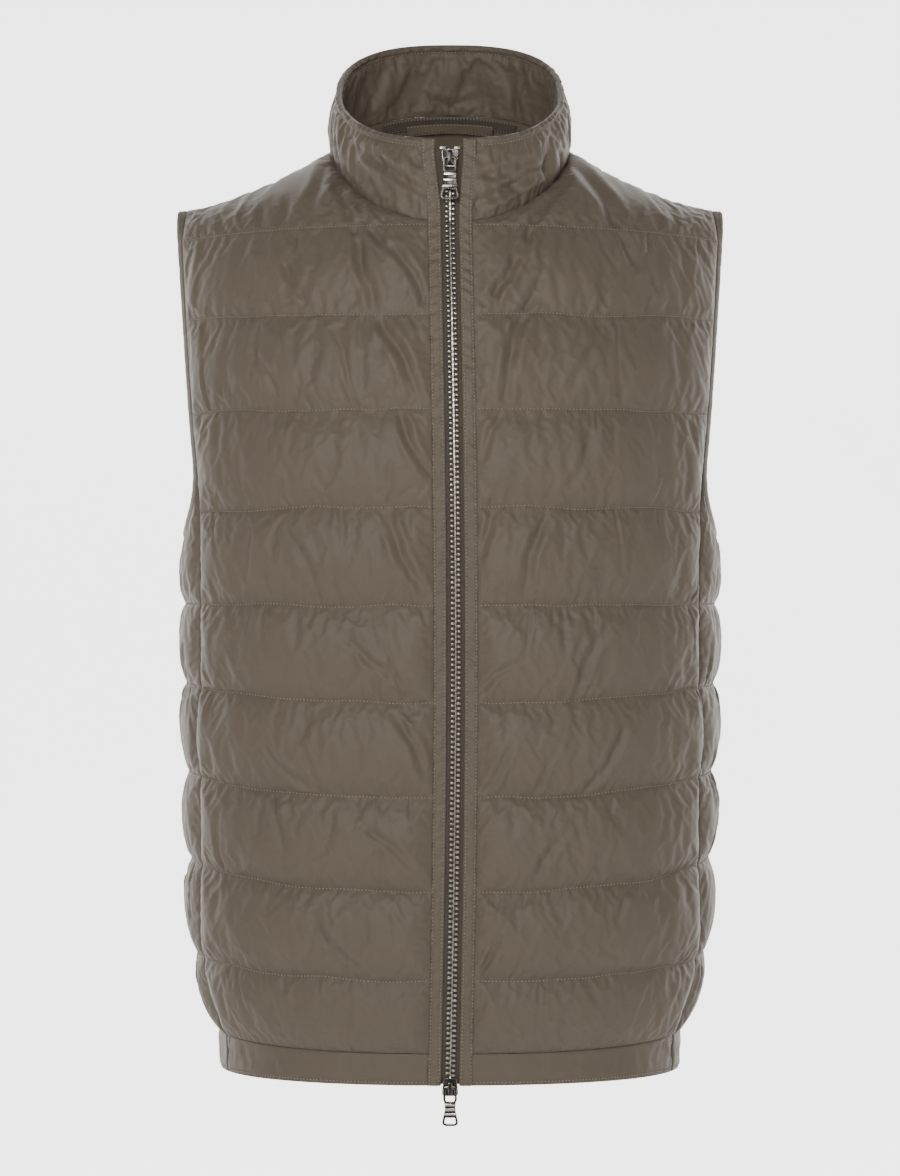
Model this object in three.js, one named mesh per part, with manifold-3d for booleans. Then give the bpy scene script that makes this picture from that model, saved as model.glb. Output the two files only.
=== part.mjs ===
// A quilted vest with a stand collar and a two-way zip, in its worn form with nobody in it.
// Millimetres, +Z up, +X to the right of the front view, -Y to the front.
// The origin lies midway between the shoulder seams, where the wearer's shoulders hold the vest.
import * as THREE from 'three';
import { mergeVertices } from 'three/addons/utils/BufferGeometryUtils.js';
import Module from 'manifold-3d';

const wasm = await Module();
wasm.setup();

// Cloth thickness and seams
const CLOTH_HALF = 0.9;
const SEAM_SHIFT = 0.18;
const EDGE_TAPER = 22;
const EDGE_PUFF = 0.3;
const SIDE_PUFF = 0.6;

// Quilt lines from the hem edge up: height at the centre, height at the side, and how far the
// channel above the line puffs out
const LINES = [
  { centre: -631, side: -632, puff: 0 },
  { centre: -609, side: -602, puff: 8.5 },
  { centre: -558, side: -547, puff: 8.5 },
  { centre: -497, side: -479, puff: 8 },
  { centre: -433, side: -418, puff: 7.5 },
  { centre: -368, side: -356, puff: 7 },
  { centre: -302, side: -301, puff: 6.5 },
  { centre: -235, side: -238, puff: 5.5 },
  { centre: -168, side: -168, puff: 4.5 },
  { centre: -103, side: -100, puff: 3.5 },
  { centre: -40, side: -44, puff: 3 },
];
const HEM_EDGE = 0;
const HEM_SEAM = 1;
const SIDE_TOP_LINE = 6;
const TOP_LINE = 10;
const CHANNEL_ROWS = [0, 0.16, 0.5, 0.84];
const CHANNEL_PUFF = [0, 0.8, 1, 0.8];
const YOKE_ROWS = [0.16, 0.5, 0.84, 1];
const YOKE_PUFF = [0.8, 1, 0.6, 0];
const LINE_CURVE_WIDTH = 195;

// Level sections of the body: half width, depth before and behind the middle, and squareness
const SECTIONS = [
  { z: -631, half: 164, front: 116.5, back: 105, power: 2.3 },
  { z: -609, half: 165, front: 117, back: 106, power: 2.3 },
  { z: -558, half: 180, front: 125, back: 114, power: 2.4 },
  { z: -497, half: 184, front: 128, back: 114, power: 2.4 },
  { z: -433, half: 186, front: 129, back: 114, power: 2.4 },
  { z: -368, half: 187.5, front: 130, back: 114, power: 2.4 },
  { z: -302, half: 188.5, front: 131, back: 115, power: 2.4 },
  { z: -235, half: 190.5, front: 132, back: 119, power: 2.35 },
  { z: -168, half: 194, front: 130, back: 121, power: 2.2 },
  { z: -103, half: 197, front: 122, back: 119, power: 2.0 },
  { z: -40, half: 201, front: 106, back: 112, power: 1.7 },
];

// Where the front and back panels end at the side seam and, above it, at the armhole
const PANEL_EDGES = [
  { z: -631, x: 156 },
  { z: -609, x: 157 },
  { z: -558, x: 172 },
  { z: -497, x: 173 },
  { z: -433, x: 173.5 },
  { z: -302, x: 173.5 },
  { z: -235, x: 174.5 },
  { z: -201.5, x: 177 },
  { z: -168, x: 180.5 },
  { z: -103, x: 186 },
  { z: -40, x: 190 },
];
const ARMHOLE_CORNER = 7.5;
const ARMHOLE_SCOOP = 54;
const CORNER_DROP = 1.6;
const BINDING_WIDTH = 7;
const BINDING_HALF = 1.1;

// Neckline and shoulder seams
const NECK_HALF = 83;
const NECK_FRONT = 105;
const NECK_BACK = 82;
const NECK_SIDE_Z = 25;
const NECK_SLOPE = { front: 0.6, back: 0.44 };
const SHOULDER_TIP_Z = -19.5;
const SHOULDER_TIP_X = 196;
const SHOULDER_CURVE = 1.64;
const NECK_ANGLES_FRONT = [9.7, 22, 38, 54, 70, 90];
const NECK_ANGLES_BACK = [90, 108, 126, 144, 162, 180];
const SHOULDER_COLUMNS = [98, 116, 134, 152, 170, 188.5];
const ROUNDING_ALONG = { front: 0.33, back: 0.3 };
const FRONT_ROUNDING_UP = 0.64;
// How high the back bends over towards its top edge, by the distance from the middle
const BACK_ROUNDING_UP = [
  { z: 0, up: 0.64 },
  { z: 60, up: 0.58 },
  { z: 86, up: 0.72 },
  { z: 112, up: 0.98 },
  { z: 190, up: 0.8 },
];
const YOKE_FULL_HEIGHT = 45;

// Collar: its top rim in plan, the slope of the rim, and its padding from the seam to the rim
const COLLAR_HALF = 79;
const COLLAR_MIDDLE_Y = -17;
const COLLAR_REACH = 83;
const COLLAR_BACK_POWER = 2.6;
const COLLAR_FRONT_Z = 16;
const COLLAR_FRONT_Y = -100;
const COLLAR_SLOPE = 0.576;
const COLLAR_LIFT = 1.8;
const COLLAR_END_X = 14.9;
const COLLAR_BULGE = 1.2;
const COLLAR_ROWS = [
  { up: 0, outer: 0.9, inner: 0.9 },
  { up: 0.15, outer: 2.2, inner: 2 },
  { up: 0.4, outer: 3.4, inner: 3.4 },
  { up: 0.65, outer: 3.4, inner: 3.4 },
  { up: 0.88, outer: 2.8, inner: 2.2 },
  { up: 1, outer: 0.7, inner: 0.7 },
];

// Zip and the strips beside it
const ZIP_BOW = 3.9;
const PLACKET_OUTER_X = 14.5;
const PLACKET_INNER_X = 6.2;
const PLACKET_OFFSETS = [-0.2, 1.7];
const TAPE_EDGE_X = 12.5;
const TAPE_MIDDLE_X = 0.25;
const TAPE_OFFSETS = [-1.5, -0.5];
const CHAIN_HALF = 3.6;
const CHAIN_OFFSETS = [-0.2, 1.9];
const TAPE_TOP_Z = 13;
const SLIDER_LENGTH = 12;
const SLIDER_TOP_Z = 0;
const SLIDER_BOTTOM_Z = -637.5;
const SLIDER_WIDE = 11.6;
const SLIDER_NARROW = 8.6;
const SLIDER_BACK = -0.2;
const SLIDER_FACE = 4.4;
const BRIDGE_LENGTH = 10.4;
const BRIDGE_WIDTH = 2.8;
const BRIDGE_TUNNEL = 3;
const BRIDGE_WALL = 1.2;
const PULL_THICKNESS = 1.6;
const PULLS = {
  pull_top: { eye: 9.5, bar: 8.5, end: 13, length: 30.5 },
  pull_bottom: { eye: 9.5, bar: 7.4, end: 11, length: 27 },
};
const PULL_EYE_LENGTH = 9.8;
const PULL_RIM = 1.6;
const PULL_WINDOW = 6.5;

// Back neck
const TAPE_NECK_WIDTH = 9;
const TAPE_NECK_THICK = 1;
const LOOP_HALF = 31;
const LOOP_WIDTH = 9;
const LOOP_DROP = 5.5;
const LOOP_THICK = 1.4;
const LOOP_STAND = 1.2;
const LOOP_STEPS = 8;
const LAY_GAP = 0.35;
const TAPE_NECK_GAP = 0.5;

// The largest folds of the two fronts: from and to in the front view, depth and half width
const FOLDS = [
  { x0: -80, z0: -10, x1: -21, z1: -163, depth: 2.6, half: 13 },
  { x0: -66, z0: -21, x1: -14, z1: -98, depth: 2, half: 12 },
  { x0: -35, z0: -166, x1: -11, z1: -215, depth: 2, half: 12 },
  { x0: 84, z0: 9, x1: 127, z1: -68, depth: 2.4, half: 13 },
  { x0: 75, z0: -14, x1: 24, z1: -96, depth: 2.6, half: 13 },
  { x0: 112, z0: -307, x1: 84, z1: -366, depth: 2.2, half: 13 },
];

// Colours
const CLOTH = { color: 0x6f6759, roughness: 0.62, metalness: 0 };
const TAPE = { color: 0x5e564a, roughness: 0.85, metalness: 0 };
const NICKEL = { color: 0xb9b2a6, roughness: 0.3, metalness: 1 };
const GUNMETAL = { color: 0x4a443d, roughness: 0.28, metalness: 1 };

const degrees = THREE.MathUtils.degToRad;
const lerp = THREE.MathUtils.lerp;
const clamp = THREE.MathUtils.clamp;

// Reads a column of a table at a height, with a smooth curve through the rows
function tableValue(table, column, z) {
  let i = 0;
  while (i < table.length - 2 && z > table[i + 1].z) i += 1;
  const slope = (k) => {
    const low = table[Math.max(k - 1, 0)];
    const high = table[Math.min(k + 1, table.length - 1)];
    return (high[column] - low[column]) / (high.z - low.z);
  };
  const span = table[i + 1].z - table[i].z;
  const t = clamp((z - table[i].z) / span, 0, 1);
  const bend = t * t * (3 - 2 * t);
  const startPull = (t ** 3 - 2 * t * t + t) * span * slope(i);
  const endPull = (t ** 3 - t * t) * span * slope(i + 1);
  return lerp(table[i][column], table[i + 1][column], bend) + startPull + endPull;
}

// Height of a level at the centre; level 0 is the hem edge and each quilt line is a whole number
function levelHeight(level) {
  const line = Math.min(Math.floor(level), LINES.length - 2);
  return lerp(LINES[line].centre, LINES[line + 1].centre, level - line);
}

// Real height of a point: the lines rise or fall towards the sides
function heightAt(centreZ, x) {
  let line = 0;
  while (line < LINES.length - 2 && centreZ > LINES[line + 1].centre) line += 1;
  const low = LINES[line];
  const high = LINES[line + 1];
  const t = clamp((centreZ - low.centre) / (high.centre - low.centre), 0, 1);
  const rise = lerp(low.side - low.centre, high.side - high.centre, t);
  return centreZ + rise * Math.min(Math.abs(x) / LINE_CURVE_WIDTH, 1) ** 3;
}

function sectionAt(centreZ) {
  const read = (column) => tableValue(SECTIONS, column, centreZ);
  return { half: read('half'), front: read('front'), back: read('back'), power: read('power') };
}

// How far outside the section a point is; the direction in which this grows is the cloth's normal
function sectionExcess(x, y, centreZ) {
  const s = sectionAt(centreZ);
  const depth = y < 0 ? s.front : s.back;
  return (Math.abs(x) / s.half) ** s.power + (Math.abs(y) / depth) ** s.power - 1;
}

function sectionNormal(x, y, centreZ) {
  const step = 0.5;
  const z = clamp(centreZ, levelHeight(HEM_EDGE) + step, levelHeight(TOP_LINE) - step);
  return new THREE.Vector3(
    sectionExcess(x + step, y, z) - sectionExcess(x - step, y, z),
    sectionExcess(x, y + step, z) - sectionExcess(x, y - step, z),
    sectionExcess(x, y, z + step) - sectionExcess(x, y, z - step),
  ).normalize();
}

// Depth of the section at a width, and width at a depth
function depthAt(x, centreZ, facing) {
  const s = sectionAt(centreZ);
  const left = Math.max(1 - (Math.abs(x) / s.half) ** s.power, 0);
  return facing * (facing < 0 ? s.front : s.back) * left ** (1 / s.power);
}

function widthAt(y, centreZ) {
  const s = sectionAt(centreZ);
  const left = Math.max(1 - (Math.abs(y) / (y < 0 ? s.front : s.back)) ** s.power, 0);
  return s.half * left ** (1 / s.power);
}

function zipBow(centreZ) {
  const low = levelHeight(HEM_EDGE);
  const high = levelHeight(TOP_LINE);
  return ZIP_BOW * Math.sin(Math.PI * clamp((centreZ - low) / (high - low), 0, 1));
}

// Points of the neckline and the shoulder seam
function necklinePoint(angle) {
  const y = -Math.cos(angle) * (Math.cos(angle) > 0 ? NECK_FRONT : NECK_BACK);
  const slope = y < 0 ? NECK_SLOPE.front : NECK_SLOPE.back;
  return new THREE.Vector3(NECK_HALF * Math.sin(angle), y, NECK_SIDE_Z + slope * y);
}

function shoulderPoint(x) {
  const t = Math.max((SHOULDER_TIP_X - x) / (SHOULDER_TIP_X - NECK_HALF), 0);
  const drop = (NECK_SIDE_Z - SHOULDER_TIP_Z) * t ** SHOULDER_CURVE;
  return new THREE.Vector3(x, 0, SHOULDER_TIP_Z + drop);
}

function shoulderNormal(x) {
  const run = shoulderPoint(x + 1).sub(shoulderPoint(x - 1));
  return new THREE.Vector3(-run.z, 0, run.x).normalize();
}

// Top ends of a panel's columns, from the middle out: neckline first, then shoulder seam
function columnTops(facing) {
  const angles = facing < 0 ? NECK_ANGLES_FRONT : [...NECK_ANGLES_BACK].reverse();
  const neck = angles.map((a) => necklinePoint(degrees(a)));
  const tops = [...neck, ...SHOULDER_COLUMNS.map(shoulderPoint)];
  tops.forEach((p) => {
    p.y = facing * Math.max(facing * p.y, SEAM_SHIFT);
  });
  return tops;
}

// One point of the yoke above the top quilt line: a rounded way from the line up to the seam
function yokePoint(bottom, top, v, facing) {
  const along = facing < 0 ? ROUNDING_ALONG.front : ROUNDING_ALONG.back;
  const up = facing < 0 ? FRONT_ROUNDING_UP : tableValue(BACK_ROUNDING_UP, 'up', top.x);
  const bend = new THREE.Vector3(
    (bottom.x + top.x) / 2,
    lerp(bottom.y, top.y, along),
    lerp(bottom.z, top.z, up),
  );
  return new THREE.QuadraticBezierCurve3(bottom, bend, top).getPoint(v);
}

// How deep the folds press into the cloth at a place in the front view
function foldDepth(x, z) {
  let depth = 0;
  for (const fold of FOLDS) {
    const run = new THREE.Vector2(fold.x1 - fold.x0, fold.z1 - fold.z0);
    const to = new THREE.Vector2(x - fold.x0, z - fold.z0);
    const along = clamp(to.dot(run) / run.lengthSq(), 0, 1);
    const away = to.sub(run.clone().multiplyScalar(along)).length() / fold.half;
    depth += fold.depth * Math.exp(-away * away);
  }
  return depth;
}

// Levels of a panel's rows with how far each row puffs
function levelRows(firstLevel, lastLevel) {
  const rows = [];
  for (let line = firstLevel; line < lastLevel; line += 1) {
    CHANNEL_ROWS.forEach((t, i) => {
      rows.push({ level: line + t, puff: LINES[line].puff * CHANNEL_PUFF[i] });
    });
  }
  rows.push({ level: lastLevel, puff: 0 });
  return rows;
}

// Half of a front or back: rows of base points with normals, from its inner edge to its outer one
function panelRows(facing, inner) {
  const tops = columnTops(facing);
  const topEdge = tableValue(PANEL_EDGES, 'x', levelHeight(TOP_LINE)) - SEAM_SHIFT;
  const first = tops[0].x;
  const shares = tops.map((p) => (p.x - first) / (tops.at(-1).x - first));
  const rows = levelRows(HEM_SEAM, TOP_LINE).map(({ level, puff }) => {
    const z = levelHeight(level) + (level === HEM_SEAM ? SEAM_SHIFT : 0);
    const start = inner(z);
    const edge = tableValue(PANEL_EDGES, 'x', z) - SEAM_SHIFT;
    const points = shares.map((share) => {
      const x = lerp(start, edge, share);
      const y = depthAt(x, z, facing);
      const normal = sectionNormal(x, y, z);
      return { p: new THREE.Vector3(x, y, heightAt(z, x)), n: normal, puff };
    });
    return { level, points };
  });
  const bottoms = rows.at(-1).points.map((point) => point.p);
  YOKE_ROWS.forEach((v, i) => {
    const points = tops.map((top, c) => {
      const bottom = bottoms[c];
      const base = yokePoint(bottom, top, v, facing);
      const near = Math.max(c - 1, 0);
      const far = Math.min(c + 1, tops.length - 1);
      const across = yokePoint(bottoms[far], tops[far], v, facing)
        .sub(yokePoint(bottoms[near], tops[near], v, facing));
      const up = yokePoint(bottom, top, Math.min(v + 0.02, 1), facing)
        .sub(yokePoint(bottom, top, v - 0.1, facing));
      let normal = across.cross(up).normalize();
      if (normal.y * facing < 0) normal.negate();
      if (v === 1 && top.x > NECK_HALF - 1) normal = shoulderNormal(top.x);
      const tall = clamp((top.z - bottom.z) / YOKE_FULL_HEIGHT, 0, 1);
      return { p: base, n: normal, puff: LINES[TOP_LINE].puff * YOKE_PUFF[i] * tall };
    });
    const last = points.at(-1);
    last.p.x = Math.min(last.p.x, lerp(topEdge, tops.at(-1).x, v));
    rows.push({ level: TOP_LINE + v, points });
  });
  return rows;
}

// Puffs are flatter beside a seam
function edgeTaper(point, row) {
  const toStart = point.distanceTo(row[0].p);
  const toEnd = point.distanceTo(row.at(-1).p);
  const t = clamp(Math.min(toStart, toEnd) / EDGE_TAPER, 0, 1);
  return lerp(EDGE_PUFF, 1, t * t * (3 - 2 * t));
}

// Turns rows of base points into the outer and inner faces of the wall
function wallPoints(rows, mirror, folded) {
  return rows.map(({ points }) => points.map(({ p, n, puff }) => {
    const fold = folded ? foldDepth(mirror * p.x, p.z) : 0;
    const raised = Math.max(puff * edgeTaper(p, points) - fold, 0);
    return {
      outer: p.clone().addScaledVector(n, CLOTH_HALF + raised),
      inner: p.clone().addScaledVector(n, -CLOTH_HALF),
    };
  }));
}

// Closed wall from rows of outer and inner points; around joins the last column to the first
function wallGeometry(grid, { around = false, flip = false } = {}) {
  const rowCount = grid.length;
  const columnCount = grid[0].length;
  const positions = [];
  const indices = [];
  for (const row of grid) {
    for (const { outer, inner } of row) positions.push(...outer.toArray(), ...inner.toArray());
  }
  const at = (r, c, face) => 2 * (r * columnCount + (c % columnCount)) + face;
  const quad = (a, b, c, d) => {
    if (flip) indices.push(a, c, b, a, d, c);
    else indices.push(a, b, c, a, c, d);
  };
  const steps = around ? columnCount : columnCount - 1;
  for (let c = 0; c < steps; c += 1) {
    for (let r = 0; r < rowCount - 1; r += 1) {
      quad(at(r, c, 0), at(r, c + 1, 0), at(r + 1, c + 1, 0), at(r + 1, c, 0));
      quad(at(r, c, 1), at(r + 1, c, 1), at(r + 1, c + 1, 1), at(r, c + 1, 1));
    }
    quad(at(0, c, 0), at(0, c, 1), at(0, c + 1, 1), at(0, c + 1, 0));
    const top = rowCount - 1;
    quad(at(top, c, 0), at(top, c + 1, 0), at(top, c + 1, 1), at(top, c, 1));
  }
  if (!around) {
    const last = columnCount - 1;
    for (let r = 0; r < rowCount - 1; r += 1) {
      quad(at(r, 0, 0), at(r + 1, 0, 0), at(r + 1, 0, 1), at(r, 0, 1));
      quad(at(r, last, 0), at(r, last, 1), at(r + 1, last, 1), at(r + 1, last, 0));
    }
  }
  const geometry = new THREE.BufferGeometry();
  geometry.setAttribute('position', new THREE.Float32BufferAttribute(positions, 3));
  geometry.setIndex(indices);
  return geometry;
}

function mirrored(grid, mirror) {
  const turn = (v) => new THREE.Vector3(v.x * mirror, v.y, v.z);
  return grid.map((row) => row.map(({ outer, inner }) => ({ outer: turn(outer), inner: turn(inner) })));
}

const vest = new THREE.Group();

function addMesh(name, geometry, finish) {
  geometry.computeVertexNormals();
  const mesh = new THREE.Mesh(geometry, new THREE.MeshStandardMaterial(finish));
  mesh.name = name;
  vest.add(mesh);
  return mesh;
}

const SIDES = [
  { name: 'left', mirror: -1 },
  { name: 'right', mirror: 1 },
];

function frontRows(mirror) {
  return panelRows(-1, (z) => PLACKET_OUTER_X + mirror * zipBow(z));
}

function backHalfRows() {
  return panelRows(1, () => 0);
}

function addFront({ name, mirror }) {
  const grid = mirrored(wallPoints(frontRows(mirror), mirror, true), mirror);
  addMesh(`front_${name}`, wallGeometry(grid, { flip: mirror < 0 }), CLOTH);
}

// The back is one panel from side to side: the mirrored half, then the half itself
function backGrid() {
  const rows = backHalfRows().map(({ level, points }) => {
    const other = points.slice(1).reverse().map(({ p, n, puff }) => ({
      p: new THREE.Vector3(-p.x, p.y, p.z),
      n: new THREE.Vector3(-n.x, n.y, n.z),
      puff,
    }));
    return { level, points: [...other, ...points] };
  });
  return wallPoints(rows, 1, false);
}

function addBack() {
  addMesh('back', wallGeometry(backGrid(), { flip: true }), CLOTH);
}

// Side panel: its columns run from the front seam to the back seam, its top is the armhole scoop
const SIDE_STEPS = 6;

function seamDepth(z, facing) {
  const edge = tableValue(PANEL_EDGES, 'x', z);
  return Math.abs(depthAt(edge, z, facing)) - SEAM_SHIFT;
}

function sidePoint(share, even, z, puff) {
  const spread = lerp(-Math.cos(Math.PI * share), 2 * share - 1, even);
  const y = spread < 0 ? spread * seamDepth(z, -1) : spread * seamDepth(z, 1);
  const x = widthAt(y, z);
  return { p: new THREE.Vector3(x, y, heightAt(z, x)), n: sectionNormal(x, y, z), puff };
}

function sideRows() {
  const shares = Array.from({ length: SIDE_STEPS + 1 }, (_, i) => i / SIDE_STEPS);
  const rows = levelRows(HEM_SEAM, SIDE_TOP_LINE).map(({ level, puff }) => {
    const z = levelHeight(level) + (level === HEM_SEAM ? SEAM_SHIFT : 0);
    return { level, points: shares.map((share) => sidePoint(share, 1, z, SIDE_PUFF * puff)) };
  });
  const low = levelHeight(SIDE_TOP_LINE);
  YOKE_ROWS.forEach((v, i) => {
    const points = shares.map((share) => {
      const corner = levelHeight(ARMHOLE_CORNER) - CORNER_DROP;
      const top = corner - ARMHOLE_SCOOP * Math.sin(Math.PI * share);
      const puff = SIDE_PUFF * LINES[SIDE_TOP_LINE].puff * YOKE_PUFF[i];
      return sidePoint(share, 1 - v, lerp(low, top, v), puff);
    });
    rows.push({ level: SIDE_TOP_LINE + v, points });
  });
  return rows;
}

function addSide({ name, mirror }) {
  const grid = mirrored(wallPoints(sideRows(), mirror, false), mirror);
  addMesh(`side_${name}`, wallGeometry(grid, { flip: mirror < 0 }), CLOTH);
}

// Armhole binding: a strip all round the hole, beside the edges of the front, back and side
function armholeLoop(mirror) {
  const edge = (rows) => rows
    .filter((row) => row.level >= ARMHOLE_CORNER)
    .map((row) => row.points.at(-1));
  const front = edge(frontRows(mirror));
  const back = edge(backHalfRows()).reverse().slice(1);
  const under = sideRows().at(-1).points.slice(1, -1).reverse();
  return [...front, ...back, ...under];
}

function addBinding({ name, mirror }) {
  const loop = armholeLoop(mirror);
  const ring = loop.map(({ p, n }, i) => {
    const before = loop[(i + loop.length - 1) % loop.length].p;
    const after = loop[(i + 1) % loop.length].p;
    const along = after.clone().sub(before).normalize();
    const towardsHole = along.cross(n).normalize();
    return { p, n, towardsHole };
  });
  const row = (reach) => ring.map(({ p, n, towardsHole }) => {
    const base = p.clone().addScaledVector(towardsHole, reach);
    return {
      outer: base.clone().addScaledVector(n, BINDING_HALF),
      inner: base.clone().addScaledVector(n, -BINDING_HALF),
    };
  });
  const grid = mirrored([row(LAY_GAP), row(LAY_GAP + BINDING_WIDTH)], mirror);
  addMesh(`armhole_binding_${name}`, wallGeometry(grid, { around: true, flip: mirror > 0 }), CLOTH);
}

// Hem band: two fronts and one piece round the sides and back
const BAND_HALF = 1.2;
const BAND_FRONT_STEPS = 7;
const BAND_BACK_STEPS = 30;
const BAND_EDGE = { level: HEM_EDGE, shift: 0 };
const BAND_TOP = { level: HEM_SEAM, shift: -SEAM_SHIFT };

function bandPoint(x, y, z) {
  const p = new THREE.Vector3(x, y, heightAt(z, x));
  const n = sectionNormal(x, y, z);
  n.z = 0;
  n.normalize();
  return {
    outer: p.clone().addScaledVector(n, BAND_HALF),
    inner: p.clone().addScaledVector(n, -BAND_HALF),
  };
}

function bandSeamX(z) {
  return tableValue(PANEL_EDGES, 'x', z);
}

function addBandFront({ name, mirror }) {
  const grid = [BAND_EDGE, BAND_TOP].map(({ level, shift }) => {
    const z = levelHeight(level) + shift;
    const row = [];
    for (let i = 0; i <= BAND_FRONT_STEPS; i += 1) {
      const start = PLACKET_OUTER_X + mirror * zipBow(z);
      const x = lerp(start, bandSeamX(z) - SEAM_SHIFT, i / BAND_FRONT_STEPS);
      row.push(bandPoint(x, depthAt(x, z, -1), z));
    }
    return row;
  });
  const placed = mirrored(grid, mirror);
  addMesh(`hem_band_front_${name}`, wallGeometry(placed, { flip: mirror < 0 }), CLOTH);
}

function addBandBack() {
  const grid = [BAND_EDGE, BAND_TOP].map(({ level, shift }) => {
    const z = levelHeight(level) + shift;
    const s = sectionAt(z);
    const start = Math.asin(((bandSeamX(z) + SEAM_SHIFT) / s.half) ** (s.power / 2));
    const row = [];
    for (let i = 0; i <= BAND_BACK_STEPS; i += 1) {
      const angle = lerp(start, 2 * Math.PI - start, i / BAND_BACK_STEPS);
      const sine = Math.sin(angle);
      const cosine = Math.cos(angle);
      const depth = cosine > 0 ? s.front : s.back;
      const x = s.half * Math.sign(sine) * Math.abs(sine) ** (2 / s.power);
      const y = -depth * Math.sign(cosine) * Math.abs(cosine) ** (2 / s.power);
      row.push(bandPoint(x, y, z));
    }
    return row;
  });
  addMesh('hem_band_back', wallGeometry(grid), CLOTH);
}

// Collar
function collarRim(angle) {
  const sine = Math.sin(angle);
  const cosine = Math.cos(angle);
  const power = cosine > 0 ? 2 : COLLAR_BACK_POWER;
  const x = COLLAR_HALF * Math.sign(sine) * Math.abs(sine) ** (2 / power);
  const y = COLLAR_MIDDLE_Y - COLLAR_REACH * Math.sign(cosine) * Math.abs(cosine) ** (2 / power);
  return new THREE.Vector3(x, y, COLLAR_FRONT_Z + COLLAR_SLOPE * (y - COLLAR_FRONT_Y));
}

function collarPoint(angle, up) {
  const seam = necklinePoint(angle);
  const rim = collarRim(angle);
  const rise = rim.clone().sub(seam).normalize();
  const base = seam.addScaledVector(rise, COLLAR_LIFT).lerp(rim, up);
  const outward = new THREE.Vector3(Math.sin(angle), -Math.cos(angle), 0);
  return base.addScaledVector(outward, COLLAR_BULGE * Math.sin(Math.PI * up));
}

function collarNormal(angle, up) {
  const step = 0.02;
  const around = collarPoint(angle + step, up).sub(collarPoint(angle - step, up));
  const rise = collarPoint(angle, Math.min(up + step, 1))
    .sub(collarPoint(angle, Math.max(up - step, 0)));
  return around.cross(rise).normalize();
}

function collarAngles() {
  const half = [...NECK_ANGLES_FRONT, ...NECK_ANGLES_BACK.slice(1)];
  const other = half.slice(0, -1).reverse().map((a) => 360 - a);
  return [...half, ...other].map(degrees);
}

function addCollar() {
  const angles = collarAngles();
  const grid = COLLAR_ROWS.map(({ up, outer, inner }) => angles.map((angle, c) => {
    const atEnd = c === 0 || c === angles.length - 1;
    const share = atEnd ? 0.45 : 1;
    const base = collarPoint(angle, up);
    if (atEnd) base.x = Math.sign(base.x) * COLLAR_END_X;
    const normal = collarNormal(angle, up);
    return {
      outer: base.clone().addScaledVector(normal, outer * share),
      inner: base.clone().addScaledVector(normal, -inner * share),
    };
  }));
  addMesh('collar', wallGeometry(grid), CLOTH);
}

// Centre front line from the hem edge to the collar's rim, for the zip and its strips
function centreFront(lowZ, highZ) {
  const points = [];
  const add = (x, y, z) => points.push(new THREE.Vector3(x, y, z));
  const neck = collarPoint(0, 0);
  const rim = collarPoint(0, 1);
  for (let level = HEM_EDGE; level < TOP_LINE; level += 0.5) {
    const z = levelHeight(level);
    if (z > lowZ && z < Math.min(highZ, neck.z)) add(zipBow(z), depthAt(0, z, -1), z);
  }
  const yAt = (z) => {
    if (z <= levelHeight(TOP_LINE)) return depthAt(0, z, -1);
    return lerp(neck.y, rim.y, clamp((z - neck.z) / (rim.z - neck.z), 0, 1));
  };
  for (const up of [0, 0.35, 0.7]) {
    const z = lerp(neck.z, rim.z, up);
    if (z > lowZ && z < highZ) add(0, yAt(z), z);
  }
  points.unshift(new THREE.Vector3(zipBow(lowZ), yAt(lowZ), lowZ));
  points.push(new THREE.Vector3(zipBow(highZ), yAt(highZ), highZ));
  return points;
}

// A flat strip along the centre front, between two widths and two offsets from the line
function stripGeometry(line, fromX, toX, offsets) {
  const grid = line.map((p, i) => {
    const before = line[Math.max(i - 1, 0)];
    const after = line[Math.min(i + 1, line.length - 1)];
    const along = after.clone().sub(before);
    const normal = new THREE.Vector3(0, -along.z, along.y).normalize();
    return [fromX, toX].map((x) => ({
      outer: p.clone().add(new THREE.Vector3(x, 0, 0)).addScaledVector(normal, offsets[1]),
      inner: p.clone().add(new THREE.Vector3(x, 0, 0)).addScaledVector(normal, offsets[0]),
    }));
  });
  return wallGeometry(grid);
}

function addZip() {
  const hem = levelHeight(HEM_EDGE);
  const stripLine = centreFront(hem, COLLAR_FRONT_Z - 1);
  const tapeLine = centreFront(hem + 1, TAPE_TOP_Z);
  const chainLow = SLIDER_BOTTOM_Z + SLIDER_LENGTH + LAY_GAP;
  const chainLine = centreFront(chainLow, SLIDER_TOP_Z - LAY_GAP);
  for (const { name, mirror } of SIDES) {
    const strip = [mirror * PLACKET_INNER_X, mirror * (PLACKET_OUTER_X - LAY_GAP)];
    const tape = [mirror * TAPE_MIDDLE_X, mirror * TAPE_EDGE_X];
    const low = (pair) => Math.min(...pair);
    const high = (pair) => Math.max(...pair);
    const stripShape = stripGeometry(stripLine, low(strip), high(strip), PLACKET_OFFSETS);
    addMesh(`placket_${name}`, stripShape, CLOTH);
    const tapeShape = stripGeometry(tapeLine, low(tape), high(tape), TAPE_OFFSETS);
    addMesh(`zip_tape_${name}`, tapeShape, TAPE);
  }
  const chain = stripGeometry(chainLine, -CHAIN_HALF, CHAIN_HALF, CHAIN_OFFSETS);
  addMesh('zip_chain', chain, NICKEL);
}

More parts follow.
